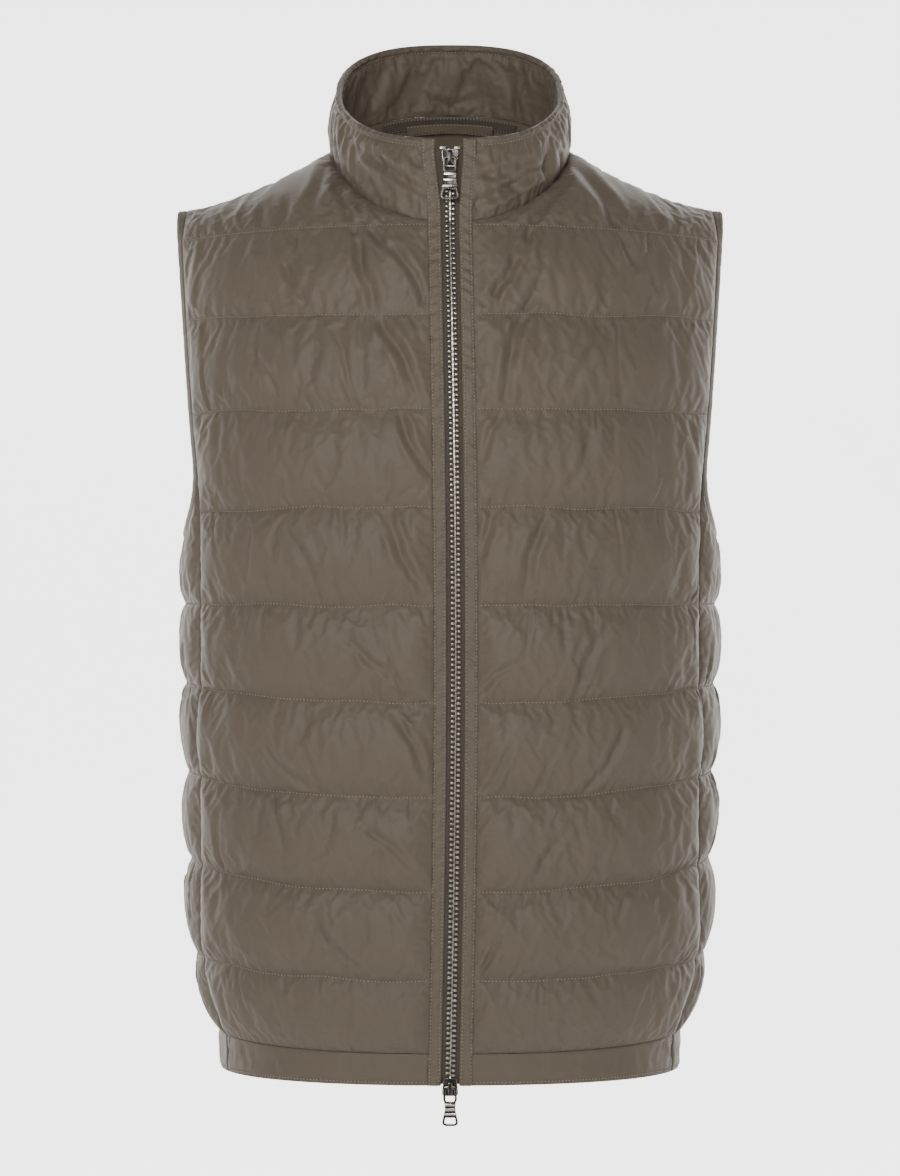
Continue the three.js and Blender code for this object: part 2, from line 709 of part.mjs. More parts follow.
// Joins closed shapes into one closed body
function joined(geometries) {
  const solids = geometries.map((source) => {
    const bare = new THREE.BufferGeometry();
    bare.setAttribute('position', source.getAttribute('position').clone());
    if (source.index) bare.setIndex(source.index.clone());
    const merged = mergeVertices(bare, 1e-4);
    return new wasm.Manifold(new wasm.Mesh({
      numProp: 3,
      vertProperties: new Float32Array(merged.getAttribute('position').array),
      triVerts: new Uint32Array(merged.index.array),
    }));
  });
  const mesh = solids.reduce((all, solid) => all.add(solid)).getMesh();
  const geometry = new THREE.BufferGeometry();
  geometry.setAttribute('position', new THREE.BufferAttribute(mesh.vertProperties, 3));
  geometry.setIndex(new THREE.BufferAttribute(mesh.triVerts, 1));
  return geometry;
}

// Stands a flat outline drawn in X and Z upright, from one offset to a nearer one
function uprightPlate(shape, back, thickness, curveSegments = 4) {
  const plate = new THREE.ExtrudeGeometry(shape, {
    depth: thickness,
    bevelEnabled: false,
    curveSegments,
  });
  plate.rotateX(Math.PI / 2);
  plate.translate(0, -back, 0);
  return plate;
}

// Slider body with its bridge; wide end up on the top slider and down on the bottom one
function sliderGeometry(wideEnd) {
  const half = SLIDER_LENGTH / 2;
  const wide = SLIDER_WIDE / 2;
  const narrow = SLIDER_NARROW / 2;
  const round = 2;
  const outline = new THREE.Shape();
  outline.moveTo(-narrow, -half * wideEnd);
  outline.lineTo(narrow, -half * wideEnd);
  outline.lineTo(wide, wideEnd);
  outline.lineTo(wide, (half - round) * wideEnd);
  outline.quadraticCurveTo(wide, half * wideEnd, wide - round, half * wideEnd);
  outline.lineTo(round - wide, half * wideEnd);
  outline.quadraticCurveTo(-wide, half * wideEnd, -wide, (half - round) * wideEnd);
  outline.lineTo(-wide, wideEnd);
  outline.closePath();
  const body = uprightPlate(outline, SLIDER_BACK, SLIDER_FACE - SLIDER_BACK);
  const arch = new THREE.Shape();
  const root = SLIDER_FACE - 0.6;
  const inside = SLIDER_FACE + BRIDGE_TUNNEL;
  const crown = inside + BRIDGE_WALL;
  const reach = BRIDGE_LENGTH / 2;
  arch.moveTo(-root, -reach);
  arch.lineTo(-inside, -reach);
  arch.lineTo(-crown, -reach + BRIDGE_WALL);
  arch.lineTo(-crown, reach - BRIDGE_WALL);
  arch.lineTo(-inside, reach);
  arch.lineTo(-root, reach);
  arch.lineTo(-root, reach - BRIDGE_WALL);
  arch.lineTo(-inside, reach - BRIDGE_WALL);
  arch.lineTo(-inside, -reach + BRIDGE_WALL);
  arch.lineTo(-root, -reach + BRIDGE_WALL);
  arch.closePath();
  const bridge = new THREE.ExtrudeGeometry(arch, { depth: BRIDGE_WIDTH, bevelEnabled: false });
  bridge.translate(0, 0, -BRIDGE_WIDTH / 2);
  bridge.applyMatrix4(new THREE.Matrix4().makeBasis(
    new THREE.Vector3(0, 1, 0),
    new THREE.Vector3(0, 0, 1),
    new THREE.Vector3(1, 0, 0),
  ));
  return joined([body, bridge]);
}

// Pull tab, hanging down from its pivot at the origin: an eye, a bar and a plate with a window
function pullGeometry({ eye, bar, end, length }) {
  const top = PULL_RIM / 2;
  const eyeEnd = top - PULL_EYE_LENGTH;
  const tip = top - length;
  const round = 1.6;
  const outline = new THREE.Shape();
  outline.moveTo(-eye / 2 + round, top);
  outline.quadraticCurveTo(-eye / 2, top, -eye / 2, top - round);
  outline.lineTo(-eye / 2, eyeEnd + 2.2);
  outline.lineTo(-bar / 2, eyeEnd);
  outline.lineTo(-bar / 2, eyeEnd - 3);
  outline.lineTo(-end / 2, tip + 3.2);
  outline.quadraticCurveTo(-end / 2, tip, -end / 2 + 3.2, tip);
  outline.lineTo(end / 2 - 3.2, tip);
  outline.quadraticCurveTo(end / 2, tip, end / 2, tip + 3.2);
  outline.lineTo(bar / 2, eyeEnd - 3);
  outline.lineTo(bar / 2, eyeEnd);
  outline.lineTo(eye / 2, eyeEnd + 2.2);
  outline.lineTo(eye / 2, top - round);
  outline.quadraticCurveTo(eye / 2, top, eye / 2 - round, top);
  outline.closePath();
  const opening = (halfWide, high, low) => {
    const hole = new THREE.Path();
    hole.moveTo(-halfWide, high);
    hole.lineTo(halfWide, high);
    hole.lineTo(halfWide, low);
    hole.lineTo(-halfWide, low);
    hole.closePath();
    return hole;
  };
  outline.holes.push(opening(eye / 2 - PULL_RIM, top - PULL_RIM, eyeEnd + PULL_RIM));
  const windowLow = tip + PULL_RIM;
  outline.holes.push(opening(end / 2 - 2.4, windowLow + PULL_WINDOW, windowLow));
  return uprightPlate(outline, -PULL_THICKNESS / 2, PULL_THICKNESS, 3);
}

// Places a slider and its pull on the centre front line at a height
function addSlider(name, lowZ, wideEnd) {
  const line = centreFront(lowZ - 1, lowZ + SLIDER_LENGTH + 1);
  const along = line.at(-1).clone().sub(line[0]);
  const tilt = Math.atan2(along.y, along.z);
  const middle = line[0].clone().lerp(line.at(-1), 0.5);
  const body = addMesh(`slider_${name}`, sliderGeometry(wideEnd), GUNMETAL);
  body.rotation.x = -tilt;
  body.position.copy(middle);
  const out = SLIDER_FACE + BRIDGE_TUNNEL / 2;
  const pull = addMesh(`pull_${name}`, pullGeometry(PULLS[`pull_${name}`]), GUNMETAL);
  pull.rotation.x = -tilt;
  pull.position.set(middle.x, middle.y - out * Math.cos(tilt), middle.z + out * Math.sin(tilt));
}

// Tape inside the back neck, on the panel's own inner points moved in, and the hanger loop on it
function addBackNeck() {
  const grid = backGrid();
  const neckColumns = 2;
  const middle = (grid[0].length - 1) / 2;
  const columns = [];
  for (let c = middle - neckColumns; c <= middle + neckColumns; c += 1) columns.push(c);
  const top = grid.at(-1);
  const below = grid.at(-2);
  const laid = (c, down, depth) => {
    const drop = below[c].inner.clone().sub(top[c].inner);
    const inward = top[c].inner.clone().sub(top[c].outer).normalize();
    const share = Math.min(down / drop.length(), 1);
    return top[c].inner.clone().addScaledVector(drop, share).addScaledVector(inward, depth);
  };
  const tapeRow = (down) => columns.map((c) => ({
    outer: laid(c, down, TAPE_NECK_GAP),
    inner: laid(c, down, TAPE_NECK_GAP + TAPE_NECK_THICK),
  }));
  addMesh('back_neck_tape', wallGeometry([tapeRow(TAPE_NECK_WIDTH), tapeRow(0.5)], { flip: true }), TAPE);
  const seat = TAPE_NECK_GAP + TAPE_NECK_THICK + LAY_GAP;
  const laidAt = (x, down, depth) => {
    let c = middle - neckColumns;
    while (top[c + 1].inner.x < x) c += 1;
    const share = (x - top[c].inner.x) / (top[c + 1].inner.x - top[c].inner.x);
    return laid(c, down, depth).lerp(laid(c + 1, down, depth), share);
  };
  const loopRow = (down) => {
    const row = [];
    for (let i = 0; i <= LOOP_STEPS; i += 1) {
      const share = i / LOOP_STEPS;
      const x = lerp(-LOOP_HALF, LOOP_HALF, share);
      const stand = seat + LOOP_STAND * Math.sin(Math.PI * share);
      row.push({ outer: laidAt(x, down, stand), inner: laidAt(x, down, stand + LOOP_THICK) });
    }
    return row;
  };
  const loop = [loopRow(LOOP_DROP + LOOP_WIDTH), loopRow(LOOP_DROP)];
  addMesh('hanger_loop', wallGeometry(loop, { flip: true }), CLOTH);
}

SIDES.forEach(addFront);
SIDES.forEach(addSide);
addBack();
SIDES.forEach(addBinding);
SIDES.forEach(addBandFront);
addBandBack();
addCollar();
addZip();
addSlider('top', SLIDER_TOP_Z, 1);
addSlider('bottom', SLIDER_BOTTOM_Z, -1);
addBackNeck();

export default vest;
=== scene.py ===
"""Quilted vest with a stand collar and a two-way zip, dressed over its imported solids.

Lengths are millimetres in the vest's own frame until a mesh is made: +X to the right of the
front view, -Y to the front, +Z up, and the origin midway between the shoulder seams.
"""

import logging
import math
from contextlib import contextmanager
from dataclasses import dataclass, field
from enum import Enum
from typing import Any, Callable, Iterator, Sequence

import bmesh
import bpy
import numpy as np
from mathutils import Matrix, Vector
from mathutils.geometry import delaunay_2d_cdt


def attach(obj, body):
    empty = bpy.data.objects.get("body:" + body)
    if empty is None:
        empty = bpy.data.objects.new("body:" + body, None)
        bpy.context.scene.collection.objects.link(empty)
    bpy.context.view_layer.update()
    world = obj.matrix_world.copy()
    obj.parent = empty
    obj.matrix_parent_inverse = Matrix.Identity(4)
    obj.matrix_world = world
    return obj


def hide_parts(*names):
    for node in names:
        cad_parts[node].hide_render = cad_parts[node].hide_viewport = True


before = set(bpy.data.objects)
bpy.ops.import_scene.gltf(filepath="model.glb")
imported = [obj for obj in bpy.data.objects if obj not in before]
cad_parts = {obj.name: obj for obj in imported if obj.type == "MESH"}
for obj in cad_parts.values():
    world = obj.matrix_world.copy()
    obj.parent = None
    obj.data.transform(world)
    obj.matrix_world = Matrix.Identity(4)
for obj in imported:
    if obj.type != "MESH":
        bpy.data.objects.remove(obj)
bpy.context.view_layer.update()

LOG = logging.getLogger("vest")
MM = 0.001
COARSE = 1.0
CREASE_DEPTH, CREASE_HALF, CREASE_BEND = 1.35, 0.85, (-0.06, 0.07)
Array = np.ndarray
Seams = list[tuple[np.ndarray, np.ndarray]]  # points and outward directions of rows of stitches


class Flank(Enum):
    """The two halves of the vest, as seen from the front."""

    LEFT = -1
    RIGHT = 1

    @property
    def word(self) -> str:
        """The half's name in a piece's name."""
        return self.name.lower()


class Facing(Enum):
    """Which way a panel of the body faces."""

    FRONT = -1
    BACK = 1


# Small sums on rows of points


def unit(vectors: Array) -> Array:
    """Scales each vector to length one.

    Args:
        vectors: Rows of vectors.

    Returns:
        Rows of the same directions with length one.
    """
    size = np.linalg.norm(vectors, axis=-1, keepdims=True)
    return vectors / np.maximum(size, 1e-9)


def mix(a: Any, b: Any, share: Any) -> Any:
    """The value a share of the way from a to b."""
    return a + (b - a) * share


def smooth_step(low: float, high: float, value: Array) -> Array:
    """Rises smoothly from 0 at low to 1 at high."""
    t = np.clip((value - low) / (high - low), 0.0, 1.0)
    return t * t * (3.0 - 2.0 * t)


def along_path(path: Array) -> Array:
    """Length along a path up to each of its points."""
    steps = np.linalg.norm(np.diff(path, axis=0), axis=1)
    return np.concatenate([[0.0], np.cumsum(steps)])


def read_along(stops: Any, length: Array, rows: Array) -> Array:
    """Values at stops along a path, read between the rows of values at its corners."""
    return np.stack([np.interp(stops, length, rows[:, k]) for k in range(rows.shape[1])], axis=-1)


def spaced(path: Array, spacing: float, closed: bool = False) -> Array:
    """Walks a path in equal steps.

    Args:
        path: The corners of the path.
        spacing: The wanted step, which is rounded to fit.
        closed: Whether the path returns to its start, which is then not repeated.

    Returns:
        Points at equal distances along the path.
    """
    corners = np.vstack([path, path[:1]]) if closed else path
    length = along_path(corners)
    count = max(int(round(length[-1] / spacing)), 2)
    made = read_along(np.linspace(0.0, length[-1], count + 1), length, corners)
    return made[:-1] if closed else made


def straight(start: Sequence[float], end: Sequence[float], step: float) -> Array:
    """Points in equal steps on the straight way between two points."""
    return spaced(np.array([start, end]), step)


def bell(values: Array, middle: float, half: float) -> Array:
    """1 at the middle, falling off smoothly on both sides."""
    return np.exp(-(((values - middle) / half) ** 2))


def thinned(shares: Array, least: float) -> Array:
    """Thickness across a folded strip of cloth, which falls to the least share at its edges."""
    return np.clip(1 - np.abs(shares - 0.5) ** 6 * 55, least, 1)


def halved(rows: Array, axis: int) -> Array:
    """Puts a smooth middle between each row of values and the next.

    Args:
        rows: The values.
        axis: The axis along which the rows follow each other.

    Returns:
        The rows with their middles between them.
    """
    kept = np.moveaxis(rows, axis, 0)
    ends = np.concatenate([kept[:1], kept, kept[-1:]])
    made = np.empty((2 * len(kept) - 1, *kept.shape[1:]))
    made[::2] = kept
    made[1::2] = (9 * (ends[1:-2] + ends[2:-1]) - ends[:-3] - ends[3:]) / 16
    return np.moveaxis(made, 0, axis)


def ripple(a: Array, b: Array, seed: int, wave: float, octaves: int = 3) -> Array:
    """Soft seeded unevenness over a surface, about -1 to 1.

    Args:
        a: First coordinate of each point.
        b: Second coordinate of each point.
        seed: Chooses the pattern.
        wave: Length of the longest waves.
        octaves: How many times shorter waves are added.

    Returns:
        One value for each point.
    """
    dice = np.random.default_rng(seed)
    total = np.zeros_like(a, dtype=float)
    size = 1.0
    for _ in range(octaves):
        for _ in range(4):
            turn, phase = dice.uniform(0, 2 * np.pi, 2)
            stretch = dice.uniform(0.7, 1.4) * 2 * np.pi / wave
            total += size * np.sin(stretch * (a * np.cos(turn) + b * np.sin(turn)) + phase)
        wave *= 0.5
        size *= 0.55
    return total / 4.5


@dataclass(frozen=True)
class Table:
    """Named columns over height, read along a smooth curve through the rows."""

    heights: tuple[float, ...]
    values: tuple[float, ...]

    def read(self, z: Array) -> Array:
        """Reads the table.

        Args:
            z: Heights.

        Returns:
            The column's value at each height.
        """
        zs, vs = np.array(self.heights), np.array(self.values)
        low = np.maximum(np.arange(len(zs)) - 1, 0)
        high = np.minimum(np.arange(len(zs)) + 1, len(zs) - 1)
        slope = (vs[high] - vs[low]) / (zs[high] - zs[low])
        i = np.clip(np.searchsorted(zs, z, side="right") - 1, 0, len(zs) - 2)
        span = zs[i + 1] - zs[i]
        t = np.clip((z - zs[i]) / span, 0.0, 1.0)
        value = mix(vs[i], vs[i + 1], t * t * (3 - 2 * t))
        value = value + (t**3 - 2 * t * t + t) * span * slope[i]
        return value + (t**3 - t * t) * span * slope[i + 1]


@dataclass(frozen=True)
class QuiltLine:
    """A quilt line: height at the centre and the side, and how far the channel above puffs."""

    centre: float
    side: float
    puff: float


@dataclass(frozen=True)
class Section:
    """A level section of the body."""

    z: float
    half: float
    front: float
    back: float
    power: float


@dataclass(frozen=True)
class BodyForm:
    """The worn shape that every piece of cloth lies on."""

    lines: tuple[QuiltLine, ...] = (
        QuiltLine(-631, -632, 0),
        QuiltLine(-609, -602, 8.5),
        QuiltLine(-558, -547, 8.5),
        QuiltLine(-497, -479, 8),
        QuiltLine(-433, -418, 7.5),
        QuiltLine(-368, -356, 7),
        QuiltLine(-302, -301, 6.5),
        QuiltLine(-235, -238, 5.5),
        QuiltLine(-168, -168, 4.5),
        QuiltLine(-103, -100, 3.5),
        QuiltLine(-40, -44, 3),
    )
    sections: tuple[Section, ...] = (
        Section(-631, 164, 116.5, 105, 2.3),
        Section(-609, 165, 117, 106, 2.3),
        Section(-558, 180, 125, 114, 2.4),
        Section(-497, 184, 128, 114, 2.4),
        Section(-433, 186, 129, 114, 2.4),
        Section(-368, 187.5, 130, 114, 2.4),
        Section(-302, 188.5, 131, 115, 2.4),
        Section(-235, 190.5, 132, 119, 2.35),
        Section(-168, 194, 130, 121, 2.2),
        Section(-103, 197, 122, 119, 2.0),
        Section(-40, 201, 106, 112, 1.7),
    )
    panel_edges: tuple[tuple[float, float], ...] = (
        (-631, 156),
        (-609, 157),
        (-558, 172),
        (-497, 173),
        (-433, 173.5),
        (-302, 173.5),
        (-235, 174.5),
        (-201.5, 177),
        (-168, 180.5),
        (-103, 186),
        (-40, 190),
    )
    line_curve_width: float = 195
    seam_shift: float = 0.18
    zip_bow_depth: float = 3.9
    strip_outer_x: float = 14.5
    neck_half: float = 83
    neck_front: float = 105
    neck_back: float = 82
    neck_side_z: float = 25
    neck_slope_front: float = 0.6
    neck_slope_back: float = 0.44
    neck_start_angle: float = 9.7
    neck_share: float = 0.42
    shoulder_tip_z: float = -19.5
    shoulder_tip_x: float = 196
    shoulder_curve: float = 1.64
    shoulder_end_x: float = 188.5
    rounding_front: tuple[float, float] = (0.33, 0.64)
    rounding_back_along: float = 0.3
    rounding_back_up: Table = Table((0, 60, 86, 112, 190), (0.64, 0.58, 0.72, 0.98, 0.8))

    @property
    def hem_edge(self) -> float:
        """Height of the hem's lower edge at the centre."""
        return self.lines[0].centre

    @property
    def hem_seam(self) -> float:
        """Height of the seam between band and panels at the centre."""
        return self.lines[1].centre

    @property
    def top_line(self) -> float:
        """Height of the uppermost quilt line at the centre."""
        return self.lines[-1].centre

    @property
    def centres(self) -> Array:
        """Heights of the quilt lines at the centre."""
        return np.array([line.centre for line in self.lines], dtype=float)

    @property
    def panel_bottom(self) -> float:
        """Height of the panels' lower edge at the centre."""
        return self.hem_seam + self.seam_shift

    def puff_at(self, z: Array, highest: int) -> Array:
        """How far the channel at a height puffs, counting channels up to the highest."""
        puffs = np.array([line.puff for line in self.lines], dtype=float)
        return puffs[np.clip(np.searchsorted(self.centres, z, side="right") - 1, 0, highest)]

    def level_height(self, level: float) -> float:
        """Height at the centre of a level; each quilt line is a whole number."""
        line = min(int(level), len(self.lines) - 2)
        return mix(self.lines[line].centre, self.lines[line + 1].centre, level - line)

    def height_at(self, z: Array, x: Array) -> Array:
        """Real height of a point, since the lines rise or fall towards the sides.

        Args:
            z: Height of the point's level at the centre.
            x: Distance from the middle.

        Returns:
            The point's height.
        """
        rises = np.array([line.side - line.centre for line in self.lines], dtype=float)
        share = np.minimum(np.abs(x) / self.line_curve_width, 1.0)
        return z + np.interp(z, self.centres, rises) * share**3

    def column(self, name: str, z: Array) -> Array:
        """One column of the sections at the given heights."""
        heights = tuple(float(s.z) for s in self.sections)
        return Table(heights, tuple(float(getattr(s, name)) for s in self.sections)).read(z)

    def edge_x(self, z: Array) -> Array:
        """Where the front and back panels end at a height."""
        heights, xs = zip(*self.panel_edges)
        return Table(tuple(map(float, heights)), tuple(map(float, xs))).read(z)

    def depth_at(self, x: Array, z: Array, facing: float) -> Array:
        """Depth of the body's surface at a width and a height.

        Args:
            x: Distance from the middle.
            z: Height at the centre.
            facing: -1 for the front, 1 for the back.

        Returns:
            The surface's y.
        """
        half, power = self.column("half", z), self.column("power", z)
        depth = self.column("front" if facing < 0 else "back", z)
        left = np.maximum(1 - (np.abs(x) / half) ** power, 0)
        return facing * depth * left ** (1 / power)

    def width_at(self, y: Array, z: Array) -> Array:
        """Half width of the body at a depth and a height."""
        half, power = self.column("half", z), self.column("power", z)
        depth = np.where(y < 0, self.column("front", z), self.column("back", z))
        left = np.maximum(1 - (np.abs(y) / depth) ** power, 0)
        return half * left ** (1 / power)

    def _excess(self, x: Array, y: Array, z: Array) -> Array:
        """How far outside the section a point is."""
        half, power = self.column("half", z), self.column("power", z)
        depth = np.where(y < 0, self.column("front", z), self.column("back", z))
        return (np.abs(x) / half) ** power + (np.abs(y) / depth) ** power - 1

    def normal(self, x: Array, y: Array, z: Array) -> Array:
        """Outward direction of the body's surface at a point.

        Args:
            x: Distance from the middle.
            y: Depth.
            z: Height at the centre.

        Returns:
            Directions of length one.
        """
        step = 0.5
        z = np.clip(z, self.hem_edge + step, self.top_line - step)
        return unit(
            np.stack(
                [
                    self._excess(x + step, y, z) - self._excess(x - step, y, z),
                    self._excess(x, y + step, z) - self._excess(x, y - step, z),
                    self._excess(x, y, z + step) - self._excess(x, y, z - step),
                ],
                axis=-1,
            )
        )

    def zip_bow(self, z: Array) -> Array:
        """Sideways bow of the zip at a height."""
        share = np.clip((z - self.hem_edge) / (self.top_line - self.hem_edge), 0, 1)
        return self.zip_bow_depth * np.sin(np.pi * share)

    def neckline(self, angle: Array) -> Array:
        """Points of the neckline.

        Args:
            angle: Turn from the centre front, in radians.

        Returns:
            Rows of points.
        """
        cosine = np.cos(angle)
        y = -cosine * np.where(cosine > 0, self.neck_front, self.neck_back)
        slope = np.where(y < 0, self.neck_slope_front, self.neck_slope_back)
        return np.stack([self.neck_half * np.sin(angle), y, self.neck_side_z + slope * y], axis=-1)

    def shoulder(self, x: Array) -> Array:
        """Points of the shoulder seam at a distance from the middle."""
        reach = self.shoulder_tip_x - self.neck_half
        t = np.maximum((self.shoulder_tip_x - x) / reach, 0)
        z = self.shoulder_tip_z + (self.neck_side_z - self.shoulder_tip_z) * t**self.shoulder_curve
        return np.stack([x, np.zeros_like(x), z], axis=-1)

    def shoulder_normal(self, x: Array) -> Array:
        """Outward direction at the shoulder seam."""
        run = self.shoulder(x + 1) - self.shoulder(x - 1)
        return unit(np.stack([-run[..., 2], np.zeros_like(x), run[..., 0]], axis=-1))

    def top_edge(self, share: Array, facing: Facing) -> Array:
        """Top edge of a front or back: the neckline, then the shoulder seam.

        Args:
            share: 0 at the centre, 1 at the armhole.
            facing: Which panel.

        Returns:
            Rows of points.
        """
        turn = np.clip(share / self.neck_share, 0, 1)
        if facing is Facing.FRONT:
            angle = np.radians(mix(self.neck_start_angle, 90.0, turn))
        else:
            angle = np.radians(180.0 - 90.0 * turn)
        out = np.clip((share - self.neck_share) / (1 - self.neck_share), 0, 1)
        along = self.shoulder(mix(self.neck_half, self.shoulder_end_x, out))
        made = np.where((share <= self.neck_share)[:, None], self.neckline(angle), along)
        side = facing.value
        made[:, 1] = side * np.maximum(side * made[:, 1], self.seam_shift)
        return made

    def yoke(self, bottom: Array, top: Array, v: Array, facing: Facing) -> Array:
        """Surface above the top quilt line: a rounded way from the line up to the seam.

        Args:
            bottom: Points on the top quilt line.
            top: Points on the top edge.
            v: 0 at the line, 1 at the edge.
            facing: Which panel.

        Returns:
            Rows of points.
        """
        if facing is Facing.FRONT:
            ahead, up = self.rounding_front
        else:
            ahead, up = self.rounding_back_along, self.rounding_back_up.read(top[:, 0])
        bend = np.stack(
            [
                (bottom[:, 0] + top[:, 0]) / 2,
                mix(bottom[:, 1], top[:, 1], ahead),
                mix(bottom[:, 2], top[:, 2], up),
            ],
            axis=-1,
        )
        t = v[:, None]
        return (1 - t) ** 2 * bottom + 2 * t * (1 - t) * bend + t * t * top


BODY = BodyForm()


# Flat nets of cloth


@dataclass
class FlatNet:
    """A flat piece of cloth as a net of triangles, with its edge and its sewn lines.

    Attributes:
        points: Flat places of the corners.
        triangles: Corners of each triangle, turning left.
        edge: The edge's corners in order.
        rows: The corners of each sewn line in order.
        clearance: Distance of each corner from the nearest edge or line.
    """

    points: Array
    triangles: Array
    edge: Array
    rows: list[Array]
    clearance: Array

    @property
    def sewn(self) -> Array:
        """Which corners are on the edge or on a line."""
        held = np.zeros(len(self.points), dtype=bool)
        held[self.edge] = True
        for row in self.rows:
            held[row] = True
        return held


def nearest(points: Array, marks: Array) -> Array:
    """Distance from each point to the nearest mark."""
    found = np.empty(len(points))
    for start in range(0, len(points), 1500):
        part = points[start : start + 1500]
        gap = ((part[:, None, :] - marks[None, :, :]) ** 2).sum(axis=2)
        found[start : start + 1500] = np.sqrt(gap.min(axis=1))
    return found


def inside(points: Array, loop: Array) -> Array:
    """Which points lie inside a closed loop."""
    found = np.zeros(len(points), dtype=bool)
    ends = np.roll(loop, -1, axis=0)
    for (ax, ay), (bx, by) in zip(loop, ends):
        if ay == by:
            continue
        crosses = (ay > points[:, 1]) != (by > points[:, 1])
        x = ax + (points[:, 1] - ay) * (bx - ax) / (by - ay)
        found ^= crosses & (points[:, 0] < x)
    return found


def net_of(edge: Array, lines: Sequence[Array], spacing: float, seed: int) -> FlatNet:
    """Fills a flat outline with an even net whose triangles follow the sewn lines.

    Args:
        edge: The outline, turning left, as equally spaced points.
        lines: The sewn lines, each a row of points inside the outline.
        spacing: Distance between neighbouring corners.
        seed: Chooses the slight unevenness of the net.

    Returns:
        The net.
    """
    marks = np.vstack([edge, *lines])
    low, high = edge.min(axis=0), edge.max(axis=0)
    rise = spacing * math.sqrt(3) / 2
    columns = np.arange(low[0], high[0], spacing)
    heights = np.arange(low[1], high[1], rise)
    grid_x, grid_y = np.meshgrid(columns, heights)
    grid_x = grid_x + (np.arange(len(heights)) % 2)[:, None] * spacing / 2
    loose = np.stack([grid_x.ravel(), grid_y.ravel()], axis=1)
    loose += np.random.default_rng(seed).uniform(-0.12, 0.12, loose.shape) * spacing
    loose = loose[inside(loose, edge)]
    gap = nearest(loose, marks)
    loose, gap = loose[gap > 0.62 * spacing], gap[gap > 0.62 * spacing]
    everything = np.vstack([marks, loose])
    links: list[tuple[int, int]] = []
    rows: list[Array] = []
    start = len(edge)
    for line in lines:
        row = np.arange(start, start + len(line))
        rows.append(row)
        links += list(zip(row[:-1].tolist(), row[1:].tolist()))
        start += len(line)
    places, _, faces, sources, _, _ = delaunay_2d_cdt(
        [Vector(p) for p in everything.tolist()], links, [list(range(len(edge)))], 1, 1e-5
    )
    moved = np.full(len(everything), -1)
    for new, olds in enumerate(sources):
        for old in olds:
            moved[old] = new
    points = np.array([tuple(p) for p in places])
    triangles = np.array([f for f in faces if len(f) == 3], dtype=int)
    a, b, c = (points[triangles[:, k]] for k in range(3))
    turn = (b[:, 0] - a[:, 0]) * (c[:, 1] - a[:, 1]) - (b[:, 1] - a[:, 1]) * (c[:, 0] - a[:, 0])
    triangles[turn < 0] = triangles[turn < 0][:, ::-1]
    triangles = triangles[np.abs(turn) > 1e-7]
    return FlatNet(
        points=points,
        triangles=triangles,
        edge=moved[: len(edge)],
        rows=[moved[row] for row in rows],
        clearance=nearest(points, marks),
    )


def smoothed(points: Array, triangles: Array, fixed: Array, share: float = 0.5) -> Array:
    """Moves each loose corner a share of the way to the middle of its neighbours.

    Args:
        points: The corners.
        triangles: The triangles that join them.
        fixed: Which corners stay.
        share: How far the others move.

    Returns:
        The corners' new places.
    """
    total, count = np.zeros_like(points), np.zeros(len(points))
    for a, b in ((0, 1), (1, 2), (2, 0), (1, 0), (2, 1), (0, 2)):
        np.add.at(total, triangles[:, a], points[triangles[:, b]])
        np.add.at(count, triangles[:, a], 1)
    middle = total / np.maximum(count, 1)[:, None]
    return np.where(fixed[:, None], points, mix(points, middle, share))


def refined(net: FlatNet, triangles: Array, *values: Array) -> tuple[FlatNet, Array, list[Array]]:
    """Splits each triangle of a net into four.

    Args:
        net: The net.
        triangles: Its triangles as they are turned on the body.
        values: Arrays with one row for each corner.

    Returns:
        The finer net, its triangles as turned on the body, and the arrays with the new rows.
    """
    count = len(net.points)
    sides = np.sort(np.vstack([triangles[:, pair] for pair in ([0, 1], [1, 2], [2, 0])]), axis=1)
    codes, which = np.unique(sides[:, 0] * count + sides[:, 1], return_inverse=True)
    first, second = codes // count, codes % count
    ab, bc, ca = (part + count for part in np.split(which.ravel(), 3))
    a, b, c = triangles.T
    corners = ((a, ab, ca), (ab, b, bc), (ca, bc, c), (ab, bc, ca))
    finer = np.vstack([np.stack(three, axis=1) for three in corners])

    def both(rows: Array) -> Array:
        """Rows for the old corners, then for the new ones."""
        return np.concatenate([rows, (rows[first] + rows[second]) / 2])

    def with_middles(row: Array, closed: bool) -> Array:
        """The corners along a line, with the new ones between them."""
        ends = np.roll(row, -1) if closed else row[1:]
        starts = row if closed else row[:-1]
        code = np.minimum(starts, ends) * count + np.maximum(starts, ends)
        found = np.minimum(np.searchsorted(codes, code), len(codes) - 1)
        middles = np.where(codes[found] == code, found + count, starts)
        made = np.stack([starts, middles], axis=1).ravel()
        return made if closed else np.append(made, row[-1])

    made = FlatNet(
        points=both(net.points),
        triangles=finer,
        edge=with_middles(net.edge, True),
        rows=[with_middles(row, False) for row in net.rows],
        clearance=both(net.clearance),
    )
    return made, finer, [both(rows) for rows in values]


# Filling the cloth


@dataclass(frozen=True)
class Fill:
    """How a padded piece is filled.

    Attributes:
        ease: How much more cloth there is than its smooth shape needs.
        gather: How much wider the cloth is cut than the ground it is sewn to.
        gather_frames: How long the sewing takes to draw it in.
        pressure: How hard the filling presses.
        frames: How long the cloth settles.
        bending: How stiff the cloth is against folding.
        uneven: Unevenness that the cloth starts with, in millimetres.
    """

    ease: float = 0.012
    gather: float = 0.016
    gather_frames: int = 7
    pressure: float = 3.0
    frames: int = 18
    bending: float = 0.3
    uneven: float = 0.15


